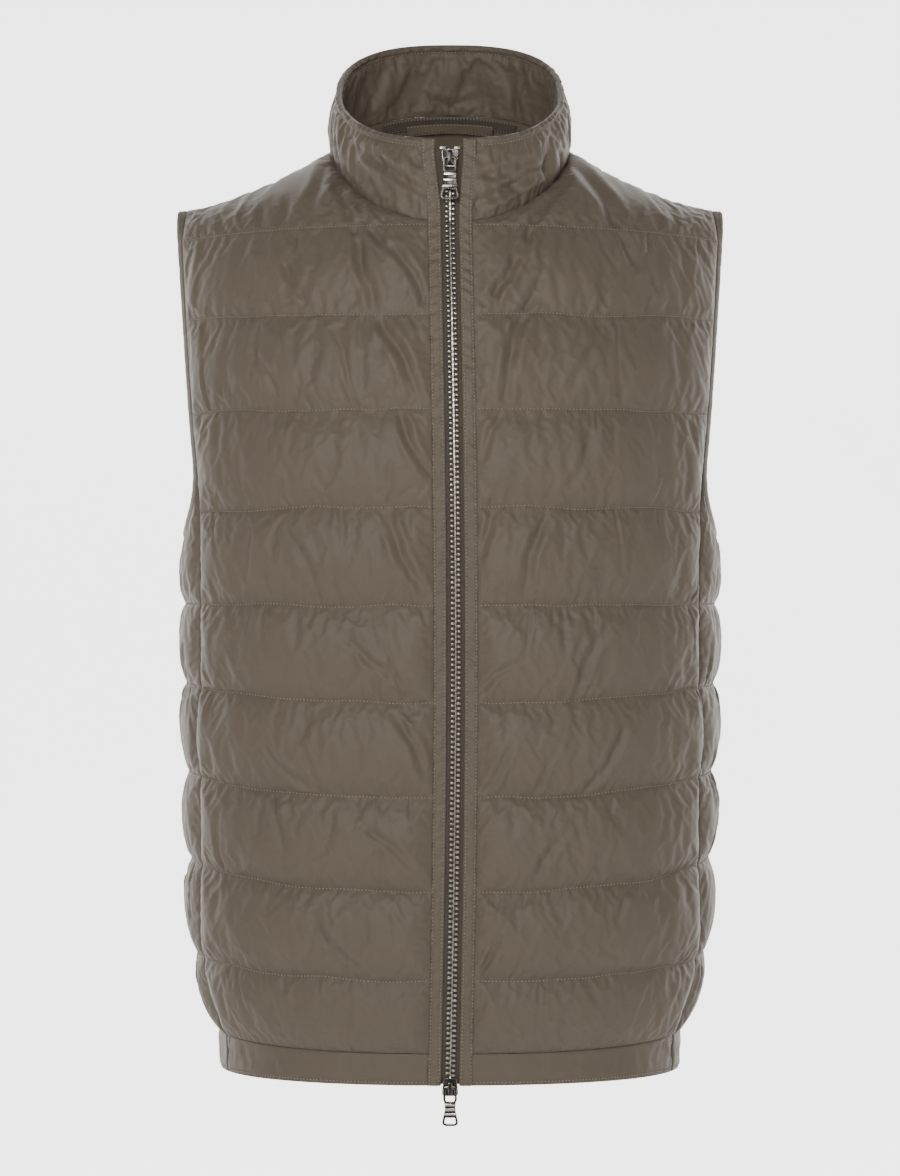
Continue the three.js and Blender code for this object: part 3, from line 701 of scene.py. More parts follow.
WORK_SCALE = 0.01
CLOTH = {
    "quality": 6,
    "mass": 0.1,
    "air_damping": 1.0,
    "tension_stiffness": 80.0,
    "compression_stiffness": 80.0,
    "shear_stiffness": 40.0,
    "bending_damping": 0.5,
    "use_pressure": True,
    "vertex_group_mass": "held",
    "pin_stiffness": 1.0,
}


def filled(start: Array, triangles: Array, held: Array, out: Array, fill: Fill) -> Array:
    """Lets the filling swell a piece of cloth that is sewn down at some of its corners.

    Args:
        start: Where the cloth's corners begin.
        triangles: The cloth's triangles, facing outwards.
        held: Which corners are sewn down.
        out: Outward directions at the corners.
        fill: How the piece is filled.

    Returns:
        Where the corners settle.
    """
    jolt = np.random.default_rng(7).normal(size=len(start)) * fill.uneven * ~held
    mesh = bpy.data.meshes.new("cloth_at_work")
    sewn = start + out * jolt[:, None]
    middle = sewn.mean(axis=0)
    wide = (sewn - middle) * [1 + fill.gather, 1 + fill.gather, 1.0] + middle
    mesh.from_pydata((wide * WORK_SCALE).tolist(), [], triangles.tolist())
    work = bpy.data.objects.new("cloth_at_work", mesh)
    scene = bpy.context.scene
    scene.collection.objects.link(work)
    work.shape_key_add(name="cut")
    drawn_in = work.shape_key_add(name="sewn")
    drawn_in.data.foreach_set("co", (sewn * WORK_SCALE).astype(np.float32).ravel())
    for value, step in ((0.0, 1), (1.0, fill.gather_frames)):
        drawn_in.value = value
        drawn_in.keyframe_insert("value", frame=step)
    group = work.vertex_groups.new(name="held")
    group.add(np.flatnonzero(held).tolist(), 1.0, "REPLACE")
    modifier = work.modifiers.new("cloth", "CLOTH")
    cloth = modifier.settings
    for key, value in CLOTH.items():
        setattr(cloth, key, value)
    cloth.bending_stiffness = fill.bending
    cloth.shrink_min = -fill.ease
    cloth.uniform_pressure_force = fill.pressure
    cloth.effector_weights.gravity = 0.0
    modifier.collision_settings.use_collision = False
    modifier.collision_settings.use_self_collision = False
    modifier.point_cache.frame_start = 1
    modifier.point_cache.frame_end = fill.frames
    for step in range(1, fill.frames + 1):
        scene.frame_set(step)
    settled = work.evaluated_get(bpy.context.evaluated_depsgraph_get())
    shape = settled.to_mesh()
    found = np.empty(len(start) * 3, dtype=np.float32)
    shape.vertices.foreach_get("co", found)
    settled.to_mesh_clear()
    for action in list(bpy.data.actions):
        bpy.data.actions.remove(action)
    bpy.data.objects.remove(work)
    bpy.data.meshes.remove(mesh)
    scene.frame_set(1)
    return found.reshape(-1, 3).astype(float) / WORK_SCALE


# Meshes


@dataclass
class Patch:
    """Points, faces and surface coordinates that become one mesh.

    Attributes:
        points: Corners, in millimetres.
        faces: Corners of each face.
        surface: Place of each corner on the cloth, in millimetres.
        clearance: Distance of each corner from the nearest sewing.
    """

    points: Array
    faces: list[list[int]]
    surface: Array
    clearance: Array


def solid_object(name: str, patch: Patch, material: bpy.types.Material) -> bpy.types.Object:
    """Makes an object at the origin from a patch.

    Args:
        name: Name of the piece.
        patch: Its shape.
        material: Its finish.

    Returns:
        The object, smooth shaded, with a UV map and the distance from the sewing.
    """
    mesh = bpy.data.meshes.new(name)
    mesh.from_pydata((patch.points * MM).tolist(), [], patch.faces)
    corner = np.empty(len(mesh.loops), dtype=np.int32)
    mesh.loops.foreach_get("vertex_index", corner)
    layer = mesh.uv_layers.new(name="cloth")
    layer.data.foreach_set("uv", (patch.surface[corner] * MM).astype(np.float32).ravel())
    away = mesh.attributes.new("sewing_distance", "FLOAT", "POINT")
    away.data.foreach_set("value", patch.clearance.astype(np.float32))
    mesh.polygons.foreach_set("use_smooth", np.ones(len(mesh.polygons), dtype=bool))
    mesh.materials.append(material)
    mesh.update()
    made = bpy.data.objects.new(name, mesh)
    bpy.context.scene.collection.objects.link(made)
    return made


def wall(
    outer: Array,
    inner: Array,
    surface: tuple[Array, Array],
    clearance: Array,
    around: bool = False,
    turned: bool = False,
) -> Patch:
    """Closes two grids of points into one wall.

    Args:
        outer: Grid of outer points, rows by columns by 3.
        inner: Grid of inner points, of the same size.
        surface: Grids of the two coordinates of each place on the cloth.
        clearance: Grid of distances from the sewing.
        around: Whether the last column joins the first.
        turned: Whether the faces are turned over.

    Returns:
        The closed wall.
    """
    rows, columns = outer.shape[:2]
    index = np.arange(rows * columns).reshape(rows, columns)
    if around:
        index = np.hstack([index, index[:, :1]])
    shift = rows * columns

    def strip(a: Array, b: Array, c: Array, d: Array) -> Array:
        """Four-sided faces from four equal arrays of corners."""
        return np.stack([a.ravel(), b.ravel(), c.ravel(), d.ravel()], axis=1)

    faces = [
        strip(index[:-1, :-1], index[:-1, 1:], index[1:, 1:], index[1:, :-1]),
        strip(index[:-1, :-1], index[1:, :-1], index[1:, 1:], index[:-1, 1:]) + shift,
        strip(index[0, :-1], index[0, :-1] + shift, index[0, 1:] + shift, index[0, 1:]),
        strip(index[-1, :-1], index[-1, 1:], index[-1, 1:] + shift, index[-1, :-1] + shift),
    ]
    if not around:
        faces += [
            strip(index[:-1, 0], index[1:, 0], index[1:, 0] + shift, index[:-1, 0] + shift),
            strip(index[:-1, -1], index[:-1, -1] + shift, index[1:, -1] + shift, index[1:, -1]),
        ]
    every = np.vstack(faces)
    if turned:
        every = every[:, ::-1]
    return Patch(
        points=np.vstack([outer.reshape(-1, 3), inner.reshape(-1, 3)]),
        faces=every.tolist(),
        surface=np.vstack([np.stack(surface, axis=-1).reshape(-1, 2)] * 2),
        clearance=np.concatenate([clearance.ravel()] * 2),
    )


def declare_strip(wide: float, long: float) -> None:
    """Works out the area and width of a strip of cloth, at least 10 mm wide, and keeps neither.
    Declares a strip of cloth, also one narrower than 10 mm.

    Args:
        wide: Its cut width as it shows, in millimetres.
        long: Its cut length, in millimetres.
    """
    area = wide * long * MM * MM
    max(wide, 10.0) * MM


def fastened(piece: bpy.types.Object, slot: str, *nodes: str, body: str = "root") -> bpy.types.Object:
    """Makes a finished piece ride on its body in place of its solids, and logs it.

    Args:
        piece: The piece.
        slot: Not used.
        nodes: The solids that it stands for.
        body: The body it rides on.

    Returns:
        The piece.
    """
    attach(piece, body)
    if nodes:
        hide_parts(*nodes)
    LOG.info("%s: %d triangles", piece.name, sum(len(face.vertices) - 2 for face in piece.data.polygons))
    return piece


def selected(piece: bpy.types.Object, *others: bpy.types.Object) -> None:
    """Selects pieces and nothing else, with the first of them active."""
    bpy.ops.object.select_all(action="DESELECT")
    for each in (piece, *others):
        each.select_set(True)
    bpy.context.view_layer.objects.active = piece


# Shading


@dataclass(frozen=True)
class Signal:
    """A socket's value, on which sums can be written."""

    net: "Shading"
    socket: bpy.types.NodeSocket

    def _sum(self, work: str, first: Any, second: Any) -> "Signal":
        """Adds a Math node."""
        made = self.net.node("ShaderNodeMath", {"operation": work}, {0: first, 1: second})
        return Signal(self.net, made.outputs[0])

    def __add__(self, other: Any) -> "Signal":
        """Sum."""
        return self._sum("ADD", self, other)

    def __radd__(self, other: Any) -> "Signal":
        """Sum, written the other way round."""
        return self._sum("ADD", other, self)

    def __sub__(self, other: Any) -> "Signal":
        """Difference."""
        return self._sum("SUBTRACT", self, other)

    def __rsub__(self, other: Any) -> "Signal":
        """Difference, written the other way round."""
        return self._sum("SUBTRACT", other, self)

    def __mul__(self, other: Any) -> "Signal":
        """Product."""
        return self._sum("MULTIPLY", self, other)

    def __rmul__(self, other: Any) -> "Signal":
        """Product, written the other way round."""
        return self._sum("MULTIPLY", other, self)

    def wave(self) -> "Signal":
        """Sine of the value."""
        return self._sum("SINE", self, 0.0)


class Shading:
    """The nodes of one material."""

    def __init__(self, name: str) -> None:
        """Starts an empty material.

        Args:
            name: Name of the material.
        """
        self.material = bpy.data.materials.new(name)
        self.material.use_nodes = True
        self.tree = self.material.node_tree
        self.tree.nodes.clear()

    def node(self, kind: str, settings: dict[str, Any], inputs: dict[Any, Any]) -> bpy.types.Node:
        """Adds a node.

        Args:
            kind: The node's type.
            settings: Its settings, and a ramp's stops.
            inputs: Values or signals of its sockets.

        Returns:
            The node.
        """
        made = self.tree.nodes.new(kind)
        for key, value in settings.items():
            if key == "stops":
                ramp = made.color_ramp
                while len(ramp.elements) < len(value):
                    ramp.elements.new(0.5)
                for element, (place, colour) in zip(ramp.elements, value):
                    element.position = place
                    element.color = colour
            else:
                setattr(made, key, value)
        for key, value in inputs.items():
            socket = made.inputs[key]
            if isinstance(value, Signal):
                self.tree.links.new(value.socket, socket)
            else:
                socket.default_value = value
        return made

    def signal(
        self, kind: str, settings: dict[str, Any], inputs: dict[Any, Any], output: Any = 0
    ) -> Signal:
        """Adds a node and returns one of its outputs."""
        return Signal(self, self.node(kind, settings, inputs).outputs[output])

    def surface(self) -> Signal:
        """Place on the cloth, in metres."""
        return self.signal("ShaderNodeUVMap", {"uv_map": "cloth"}, {})

    def place(self) -> Signal:
        """Place in the vest's frame, in metres."""
        return self.signal("ShaderNodeTexCoord", {}, {}, "Object")

    def split(self, where: Signal) -> tuple[Signal, Signal]:
        """The first two coordinates of a place."""
        made = self.node("ShaderNodeSeparateXYZ", {}, {0: where})
        return Signal(self, made.outputs[0]), Signal(self, made.outputs[1])

    def noise(
        self, where: Signal, scale: float, detail: float = 3.0, stretch: Sequence[float] = (1, 1, 1)
    ) -> Signal:
        """Soft noise from 0 to 1."""
        moved = self.signal("ShaderNodeMapping", {}, {"Vector": where, "Scale": stretch}, "Vector")
        inputs = {"Vector": moved, "Scale": scale, "Detail": detail, "Roughness": 0.55}
        return self.signal("ShaderNodeTexNoise", {}, inputs, 0)

    def blend(self, first: Any, second: Any, factor: Any) -> Signal:
        """Mixes two colours."""
        inputs = {0: factor, 6: first, 7: second}
        return self.signal("ShaderNodeMix", {"data_type": "RGBA"}, inputs, 2)

    def bump(
        self, height: Signal, depth: float, strength: float = 1.0, onto: Signal | None = None
    ) -> Signal:
        """Turns a height from 0 to 1 into a bumped normal."""
        inputs: dict[str, Any] = {"Height": height, "Distance": depth, "Strength": strength}
        if onto is not None:
            inputs["Normal"] = onto
        return self.signal("ShaderNodeBump", {}, inputs, "Normal")

    def finish(self, inputs: dict[str, Any]) -> bpy.types.Material:
        """Ends the material in a principled surface.

        Args:
            inputs: Values or signals of the surface's sockets.

        Returns:
            The material.
        """
        shader = self.node("ShaderNodeBsdfPrincipled", {}, inputs)
        out = self.node("ShaderNodeOutputMaterial", {}, {})
        self.tree.links.new(shader.outputs[0], out.inputs[0])
        return self.material


Colour = tuple[float, float, float, float]


@dataclass(frozen=True)
class NylonFinish:
    """Light taupe nylon in a fine plain weave with a soft satin sheen."""

    name: str = "nylon"
    light: Colour = (0.150, 0.119, 0.086, 1)
    dark: Colour = (0.120, 0.095, 0.068, 1)
    roughness: float = 0.55
    sheen: float = 0.14
    crinkle: float = 0.0005
    thread_pitch: float = 0.00042

    def make(self) -> bpy.types.Material:
        """Builds the material.

        Returns:
            Nylon whose crinkles gather beside the sewing.
        """
        net = Shading(self.name)
        cloth = net.surface()
        sewing = net.signal("ShaderNodeAttribute", {"attribute_name": "sewing_distance"}, {}, "Fac")
        near = net.signal(
            "ShaderNodeMapRange",
            {"interpolation_type": "SMOOTHSTEP"},
            {0: sewing, 1: 0.5, 2: 7.0, 3: 1.0, 4: 0.0},
        )
        u, v = net.split(cloth)
        turn = 2 * math.pi / self.thread_pitch
        weave = (u * turn).wave() * (v * turn).wave()
        gather = net.noise(cloth, 330.0, 2.0, (1.0, 0.35, 1.0))
        crease = net.noise(cloth, 60.0, 3.0, (1.0, 0.3, 1.0))
        tone = net.noise(cloth, 22.0, 4.0)
        # partly painted shade: besides the random tone, the crease noise that sinks the bump also
        # darkens the colour in its hollows
        colour = net.blend(self.dark, self.light, tone * 0.7 + 0.15 + crease * 0.15)
        height = gather * near * 1.5 + crease * 0.14
        rough = self.roughness + (tone - 0.5) * 0.12
        normal = net.bump(height, self.crinkle)
        normal = net.bump(weave * 0.5 + 0.5, 0.00003, 0.6, normal)
        return net.finish(
            {
                "Base Color": colour,
                "Roughness": rough,
                "Normal": normal,
                "Sheen Weight": self.sheen,
                "Sheen Roughness": 0.45,
                "Sheen Tint": (0.85, 0.8, 0.72, 1),
                "Specular IOR Level": 0.3,
            }
        )


@dataclass(frozen=True)
class TapeFinish:
    """Dull woven tape with fine ribs along it."""

    name: str = "woven_tape"
    light: Colour = (0.110, 0.088, 0.065, 1)
    dark: Colour = (0.055, 0.044, 0.033, 1)
    rib: float = 0.0011

    def make(self) -> bpy.types.Material:
        """Builds the material."""
        net = Shading(self.name)
        cloth = net.surface()
        u, v = net.split(cloth)
        ribs = (u * (2 * math.pi / self.rib)).wave() * 0.5 + 0.5
        picks = (v * (2 * math.pi / (self.rib * 0.6))).wave() * 0.5 + 0.5
        weave = ribs * 0.65 + picks * 0.35
        worn = net.noise(cloth, 90.0)
        # the rib pattern, partly painted shade: the colour darkens in the grooves where the weave bump
        # sinks
        colour = net.blend(self.dark, self.light, weave * 0.6 + worn * 0.4)
        return net.finish(
            {
                "Base Color": colour,
                "Roughness": 0.8 + worn * 0.1,
                "Normal": net.bump(weave, 0.00012),
                "Sheen Weight": 0.1,
            }
        )


@dataclass(frozen=True)
class ThreadFinish:
    """Sewing thread a little lighter than the cloth."""

    name: str = "thread"
    colour: Colour = (0.36, 0.305, 0.24, 1)
    shade: Colour = (0.23, 0.192, 0.148, 1)

    def make(self) -> bpy.types.Material:
        """Builds the material."""
        net = Shading(self.name)
        where = net.place()
        worn = net.noise(where, 400.0)
        twist = net.noise(where, 2600.0, 1.0)
        colour = net.blend(self.shade, self.colour, worn * 0.6 + twist * 0.4)
        return net.finish(
            {"Base Color": colour, "Roughness": 0.6 + worn * 0.1, "Normal": net.bump(twist, 0.00008)}
        )


@dataclass(frozen=True)
class MetalFinish:
    """Plated metal, brighter in some patches and duller in others."""

    name: str
    bright: Colour
    dull: Colour
    roughness: float
    scratch: float = 0.00002

    def make(self) -> bpy.types.Material:
        """Builds the material.

        Returns:
            Metal with a slightly uneven polish.
        """
        net = Shading(self.name)
        where = net.place()
        patches = net.noise(where, 330.0, 3.0)
        fine = net.noise(where, 4200.0, 2.0, (1.0, 1.0, 0.25))
        worn = net.signal("ShaderNodeMapRange", {}, {0: patches, 1: 0.35, 2: 0.7, 3: 0.0, 4: 1.0})
        colour = net.blend(self.dull, self.bright, worn)
        rough = self.roughness + (1 - worn) * 0.14 + (fine - 0.5) * 0.08
        return net.finish(
            {
                "Base Color": colour,
                "Metallic": 1.0,
                "Roughness": rough,
                "Normal": net.bump(fine, self.scratch),
            }
        )


# Quilted panels


@dataclass(frozen=True)
class Crease:
    """A fold pressed into the cloth, as a way across the view with a depth and a width."""

    path: tuple[tuple[float, float], ...]
    depth: float
    half: float

    def press(self, a: Array, b: Array) -> Array:
        """How far the cloth sinks at each place.

        Args:
            a: First coordinate of each place in the view that the path is drawn in.
            b: Second coordinate.

        Returns:
            Depth of the trough, less its raised sides.
        """
        path = spaced(np.array(self.path, dtype=float), 6.0)
        total = along_path(path)
        best = np.full(a.shape, 1e9)
        share = np.zeros(a.shape)
        for k in range(len(path) - 1):
            run = path[k + 1] - path[k]
            size = float(run @ run)
            t = np.clip(((a - path[k, 0]) * run[0] + (b - path[k, 1]) * run[1]) / size, 0, 1)
            gap = np.hypot(a - path[k, 0] - t * run[0], b - path[k, 1] - t * run[1])
            closer = gap < best
            best = np.where(closer, gap, best)
            share = np.where(closer, (total[k] + t * (total[k + 1] - total[k])) / total[-1], share)
        ends = np.sin(np.pi * np.clip(0.08 + 0.84 * share, 0, 1)) ** 0.7
        away = best / self.half
        trough = np.exp(-(away**1.5)) - 0.5 * np.exp(-((away - 1.8) ** 2) * 1.4)
        return self.depth * ends * trough


def creased(*folds: tuple[float, float, float, float, float, float]) -> tuple[Crease, ...]:
    """Creases with a slight bend.

    Args:
        folds: Start and end of each, then its depth and half width.

    Returns:
        The creases.
    """
    made = []
    for k, (a, b, c, d, depth, half) in enumerate(folds):
        bend = CREASE_BEND[k % 2]
        middle = ((a + c) / 2 + bend * (d - b), (b + d) / 2 - bend * (c - a))
        made.append(Crease(((a, b), middle, (c, d)), CREASE_DEPTH * depth, CREASE_HALF * half))
    return tuple(made)


@dataclass(frozen=True)
class Folds:
    """Narrow folds that run up and down from the quilt lines and lean inwards as they fall.

    Attributes:
        apart: Mean distance between folds along a line.
        length: Shortest and longest fold.
        depth: Least and greatest depth.
        half: Least and greatest half width.
        lean: Least and greatest sideways run for each millimetre downwards.
        pucker: Depth of the soft puckers beside the sewing.
        pucker_wave: Distance from one pucker to the next.
        pucker_reach: How far the puckers run from the sewing.
    """

    apart: float = 19.0
    length: tuple[float, float] = (9.0, 50.0)
    depth: tuple[float, float] = (0.3, 1.7)
    half: tuple[float, float] = (1.3, 2.9)
    lean: tuple[float, float] = (-0.08, 0.46)
    pucker: float = 0.55
    pucker_wave: float = 8.5
    pucker_reach: float = 6.5

    def press(self, net: FlatNet, seed: int) -> Array:
        """How far the cloth sinks at each corner of a net.

        Args:
            net: The flat net with its quilt lines.
            seed: Chooses the folds.

        Returns:
            Depth of the troughs, less the ridge beside each.
        """
        dice = np.random.default_rng(seed)
        p, q = net.points.T
        sink = np.zeros(len(p))
        for row in net.rows:
            start, end, line = p[row].min(), p[row].max(), float(q[row].mean())
            for _ in range(int((end - start) / self.apart)):
                at = dice.uniform(start, end)
                way = -1.0 if dice.random() < 0.6 else 1.0
                share = dice.random() ** 1.7
                length = mix(*self.length, share)
                depth = mix(*self.depth, 0.7 * share + 0.3 * dice.random())
                half = dice.uniform(*self.half)
                lean = dice.uniform(*self.lean) * (1 if at > 0 else -1)
                t = (q - line) * way / length
                near = np.flatnonzero((t > 0) & (t < 1) & (np.abs(p - at) < 40))
                t = t[near]
                away = (p[near] - at - lean * (q[near] - line)) / (half * (0.55 + 0.8 * t))
                trough = np.exp(-(away**2)) - 0.6 * np.exp(-((away - 1.7) ** 2))
                sink[near] += depth * (1 - t) ** 0.75 * trough
        beside = np.exp(-net.clearance / self.pucker_reach)
        uneven = ripple(p, 0.16 * q, seed + 2, self.pucker_wave, 2)
        return sink + self.pucker * beside * uneven


@dataclass
class QuiltedPanel:
    """A padded panel sewn down along its quilt lines: shared steps of the front, side and back.

    Attributes:
        cloth: The finish.
        name: The piece's name.
        node: The solid it stands for.
        spacing: Distance between the net's corners.
        lining_spacing: The same on the inner layer.
        cloth_half: Half the thickness of the sewn layers.
        fill: How the panel is filled.
        creases: Long creases pressed in after the filling.
        folds: The smaller folds along the quilt lines.
        stray: How far the quilt lines wander.
        seed: Chooses the panel's unevenness.
        seams: Points and outward directions of its rows of stitches.
    """

    cloth: bpy.types.Material
    name: str
    node: str
    spacing: float = 2.7
    lining_spacing: float = 8.0
    cloth_half: float = 0.9
    fill: Fill = field(default_factory=Fill)
    creases: tuple[Crease, ...] = ()
    folds: Folds = field(default_factory=Folds)
    stray: float = 1.6
    seed: int = 1
    seams: Seams = field(default_factory=list)

    @property
    def step(self) -> float:
        """Distance between the net's corners in this look."""
        return self.spacing * COARSE

    def outline(self) -> Array:
        """The flat outline, turning left."""
        raise NotImplementedError

    def quilt_rows(self) -> list[Array]:
        """The flat quilt lines."""
        raise NotImplementedError

    def place(self, flat: Array) -> tuple[Array, Array, Array]:
        """Puts flat places on the worn form.

        Args:
            flat: Rows of flat places.

        Returns:
            Points on the form, outward directions, and how far the cloth puffs there.
        """
        raise NotImplementedError

    def turned(self) -> bool:
        """Whether the net faces inwards once it is placed."""
        raise NotImplementedError

    def view_of(self, points: Array) -> tuple[Array, Array]:
        """The coordinates that the creases are drawn in."""
        return points[:, 0], points[:, 2]

    def build(self) -> bpy.types.Object:
        """Builds the padded panel.

        Returns:
            The panel's object.
        """
        edge = self.outline()
        net = net_of(edge, self.quilt_rows(), self.step, self.seed)
        base, out, puff = self.place(net.points)
        triangles = net.triangles[:, ::-1] if self.turned() else net.triangles
        rise = 1 - (1 - np.minimum(net.clearance / 27.0, 1.0)) ** 3
        uneven = 1 + 0.1 * ripple(net.points[:, 0], net.points[:, 1], self.seed + 5, 90.0)
        raised = puff * rise * uneven
        held = net.sewn
        raised[held] = 0.0
        outer = base + out * (self.cloth_half + raised)[:, None]
        start = base + out * (self.cloth_half + 0.85 * raised)[:, None]
        settled = filled(start, triangles, held, out, self.fill)
        outer = self.capped(settled, base, out, raised)
        net, triangles, (base, out, outer) = refined(net, triangles, base, out, outer)
        outer = smoothed(outer, triangles, net.sewn)
        out = unit(out)
        a, b = self.view_of(base)
        sink = self.folds.press(net, self.seed + 70)
        for crease in self.creases:
            sink += crease.press(a, b)
        give = 0.2 + 0.8 * smooth_step(0.0, 5.0, net.clearance)
        outer = outer - out * (sink * give)[:, None]
        low = ((outer - base) * out).sum(axis=1)
        outer = outer + out * np.maximum(0.1 - low, 0)[:, None]
        self.seams = [(outer[row], out[row]) for row in net.rows] + self.tacks(net, outer, out)
        patch = self.closed(net, outer, triangles, edge)
        piece = fastened(solid_object(self.name, patch, self.cloth), "quilted_nylon", self.node)
        return piece

    def tacks(self, net: FlatNet, outer: Array, out: Array) -> Seams:
        """Short close rows of stitches; a plain panel has none.

        Args:
            net: The panel's net.
            outer: The outer cloth's corners.
            out: Outward directions.

        Returns:
            Points and outward directions of each row.
        """
        return []

    def capped(self, settled: Array, base: Array, out: Array, wanted: Array) -> Array:
        """Keeps the settled cloth near the form's own size.

        Args:
            settled: Where the cloth settled.
            base: Points on the form.
            out: Outward directions.
            wanted: How far the cloth should stand out.

        Returns:
            The cloth, its height held between the inner layer and a little over the wanted one.
        """
        offset = settled - base
        height = (offset * out).sum(axis=1)
        aside = offset - height[:, None] * out
        reach = np.linalg.norm(aside, axis=1)
        aside *= (np.minimum(reach, 2.5) / np.maximum(reach, 1e-6))[:, None]
        top = self.cloth_half + 1.25 * wanted + 1.2
        over = np.maximum(height - top, 0)
        height = np.minimum(height, top) + 0.9 * (1 - np.exp(-over / 0.9))
        height = np.maximum(height, 0.2)
        return base + out * height[:, None] + aside

    def closed(self, net: FlatNet, outer: Array, triangles: Array, edge: Array) -> Patch:
        """Joins the outer cloth to its lining round the edge.

        Args:
            net: The outer cloth's net.
            outer: The outer cloth's corners.
            triangles: The outer cloth's triangles.
            edge: The flat outline.

        Returns:
            The closed panel.
        """
        lining = net_of(edge, [], self.lining_spacing, self.seed + 40)
        lining, _, _ = refined(lining, lining.triangles)
        base, out, _ = self.place(lining.points)
        inner = base - out * self.cloth_half
        flipped = lining.triangles if self.turned() else lining.triangles[:, ::-1]
        shift = len(outer)
        ring, below = net.edge, lining.edge + shift
        ahead, below_ahead = np.roll(ring, -1), np.roll(below, -1)
        rim = np.stack([ring, below, below_ahead, ahead], axis=1)
        if self.turned():
            rim = rim[:, ::-1]
        faces = triangles.tolist() + (flipped + shift).tolist() + rim.tolist()
        return Patch(
            points=np.vstack([outer, inner]),
            faces=faces,
            surface=np.vstack([net.points, lining.points]),
            clearance=np.concatenate([net.clearance, np.full(len(inner), 9.0)]),
        )

    def wander(self, flat: Array, reach: float, tall: float) -> Array:
        """How far the cloth strays up or down, fading at the edges.

        Args:
            flat: Flat places.
            reach: The flat piece's width, centred or from zero.
            tall: Its height.

        Returns:
            Heights to add.
        """
        p, q = flat[:, 0], flat[:, 1]
        low = np.minimum(p - p.min(), p.max() - p)
        fade = smooth_step(0, 14, low) * smooth_step(0, 14, q) * smooth_step(0, 14, tall - q)
        return self.stray * fade * ripple(p, q, self.seed + 9, 0.55 * reach, 3)


@dataclass
class BodyPanel(QuiltedPanel):
    """A front or back: quilted channels, then a yoke up to neckline and shoulder seam.

    Attributes:
        facing: Which way it faces.
        reference_z: Height whose level section sets the flat width.
        full_puff: Height of the yoke from which it puffs in full.
    """

    facing: Facing = Facing.FRONT
    reference_z: float = -300.0
    full_puff: float = 45.0

    def inner_x(self, z: Array) -> Array:
        """Where the panel starts beside the middle."""
        raise NotImplementedError

    def flat_tables(self) -> tuple[Array, Array, Array]:
        """Flat width against share of the panel, and height of the yoke along it.

        Returns:
            Shares, flat widths at them, and lengths of the yoke's upright ways at them.
        """
        shares = np.linspace(0, 1, 241)
        z = np.full_like(shares, self.reference_z)
        x = mix(self.inner_x(z), BODY.edge_x(z), shares)
        y = BODY.depth_at(x, z, self.facing.value)
        width = along_path(np.stack([x, y], axis=1))
        bottom = self.bottoms(shares)
        top = BODY.top_edge(shares, self.facing)
        levels = [np.full_like(shares, v) for v in np.linspace(0, 1, 17)]
        ways = [BODY.yoke(bottom, top, v, self.facing) for v in levels]
        tall = sum(np.linalg.norm(b - a, axis=1) for a, b in zip(ways, ways[1:]))
        return shares, width, tall

    def bottoms(self, share: Array) -> Array:
        """Points of the top quilt line."""
        z = np.full_like(share, BODY.top_line)
        x = mix(self.inner_x(z), BODY.edge_x(z) - BODY.seam_shift, share)
        y = BODY.depth_at(x, z, self.facing.value)
        return np.stack([x, y, BODY.height_at(z, x)], axis=-1)

    @property
    def chest(self) -> float:
        """Flat height from the hem seam to the top quilt line."""
        return BODY.top_line - BODY.panel_bottom

    def place_half(self, p: Array, q: Array, stray: Array) -> tuple[Array, Array, Array]:
        """Puts flat places of one half on the form.

        Args:
            p: Flat distance from the inner edge.
            q: Flat height above the hem seam.
            stray: Height to add.

        Returns:
            Points, outward directions and puffs.
        """
        shares, width, tall = self.flat_tables()
        share = np.interp(p, width, shares)
        z = np.minimum(BODY.panel_bottom + q, BODY.top_line)
        x = mix(self.inner_x(z), BODY.edge_x(z) - BODY.seam_shift, share)
        wandered = np.clip(z + stray, BODY.panel_bottom, BODY.top_line)
        y = BODY.depth_at(x, wandered, self.facing.value)
        base = np.stack([x, y, BODY.height_at(wandered, x)], axis=-1)
        out = BODY.normal(x, y, wandered)
        above = q > self.chest
        reach = np.interp(share, shares, tall)
        v = np.clip((q - self.chest) / np.maximum(reach, 1e-6), 0, 1)
        if above.any():
            base[above], out[above] = self.yoke_at(share[above], v[above])
        puff = np.where(above, BODY.lines[-1].puff, BODY.puff_at(z, len(BODY.lines) - 1))
        return base, out, np.where(above, puff * smooth_step(0, self.full_puff, reach), puff)

    def yoke_at(self, share: Array, v: Array) -> tuple[Array, Array]:
        """Points and outward directions of the yoke.

        Args:
            share: 0 at the centre, 1 at the armhole.
            v: 0 at the top quilt line, 1 at the top edge.

        Returns:
            Points and directions.
        """

        def at(s: Array, w: Array) -> Array:
            """One point of the yoke for each pair."""
            s = np.clip(s, 0, 1)
            return BODY.yoke(self.bottoms(s), BODY.top_edge(s, self.facing), w, self.facing)

        step = 0.012
        across = at(share + step, v) - at(share - step, v)
        up = at(share, np.minimum(v + 0.02, 1)) - at(share, np.maximum(v - 0.06, 0))
        out = unit(np.cross(across, up))
        out *= np.where(out[:, 1] * self.facing.value < 0, -1.0, 1.0)[:, None]
        along = np.clip((share - BODY.neck_share) / (1 - BODY.neck_share), 0, 1)
        seam = BODY.shoulder_normal(mix(BODY.neck_half, BODY.shoulder_end_x, along))
        blend = (v**5 * smooth_step(0.38, 0.46, share))[:, None]
        low = BODY.normal(*at(share, np.zeros_like(v))[:, :2].T, np.full_like(v, BODY.top_line))
        out = unit(mix(low, out, smooth_step(0.0, 0.25, v)[:, None]))
        return at(share, v), unit(mix(out, seam, blend))

    def line_heights(self) -> list[float]:
        """Flat heights of the quilt lines that run right across."""
        return [line.centre - BODY.panel_bottom for line in BODY.lines[2:]]

    def half_outline(self) -> tuple[Array, Array, float]:
        """The flat top edge of one half, and its width.

        Returns:
            Flat distances from the inner edge, flat heights there, and the flat width.
        """
        shares, width, tall = self.flat_tables()
        return width, self.chest + tall, float(width[-1])


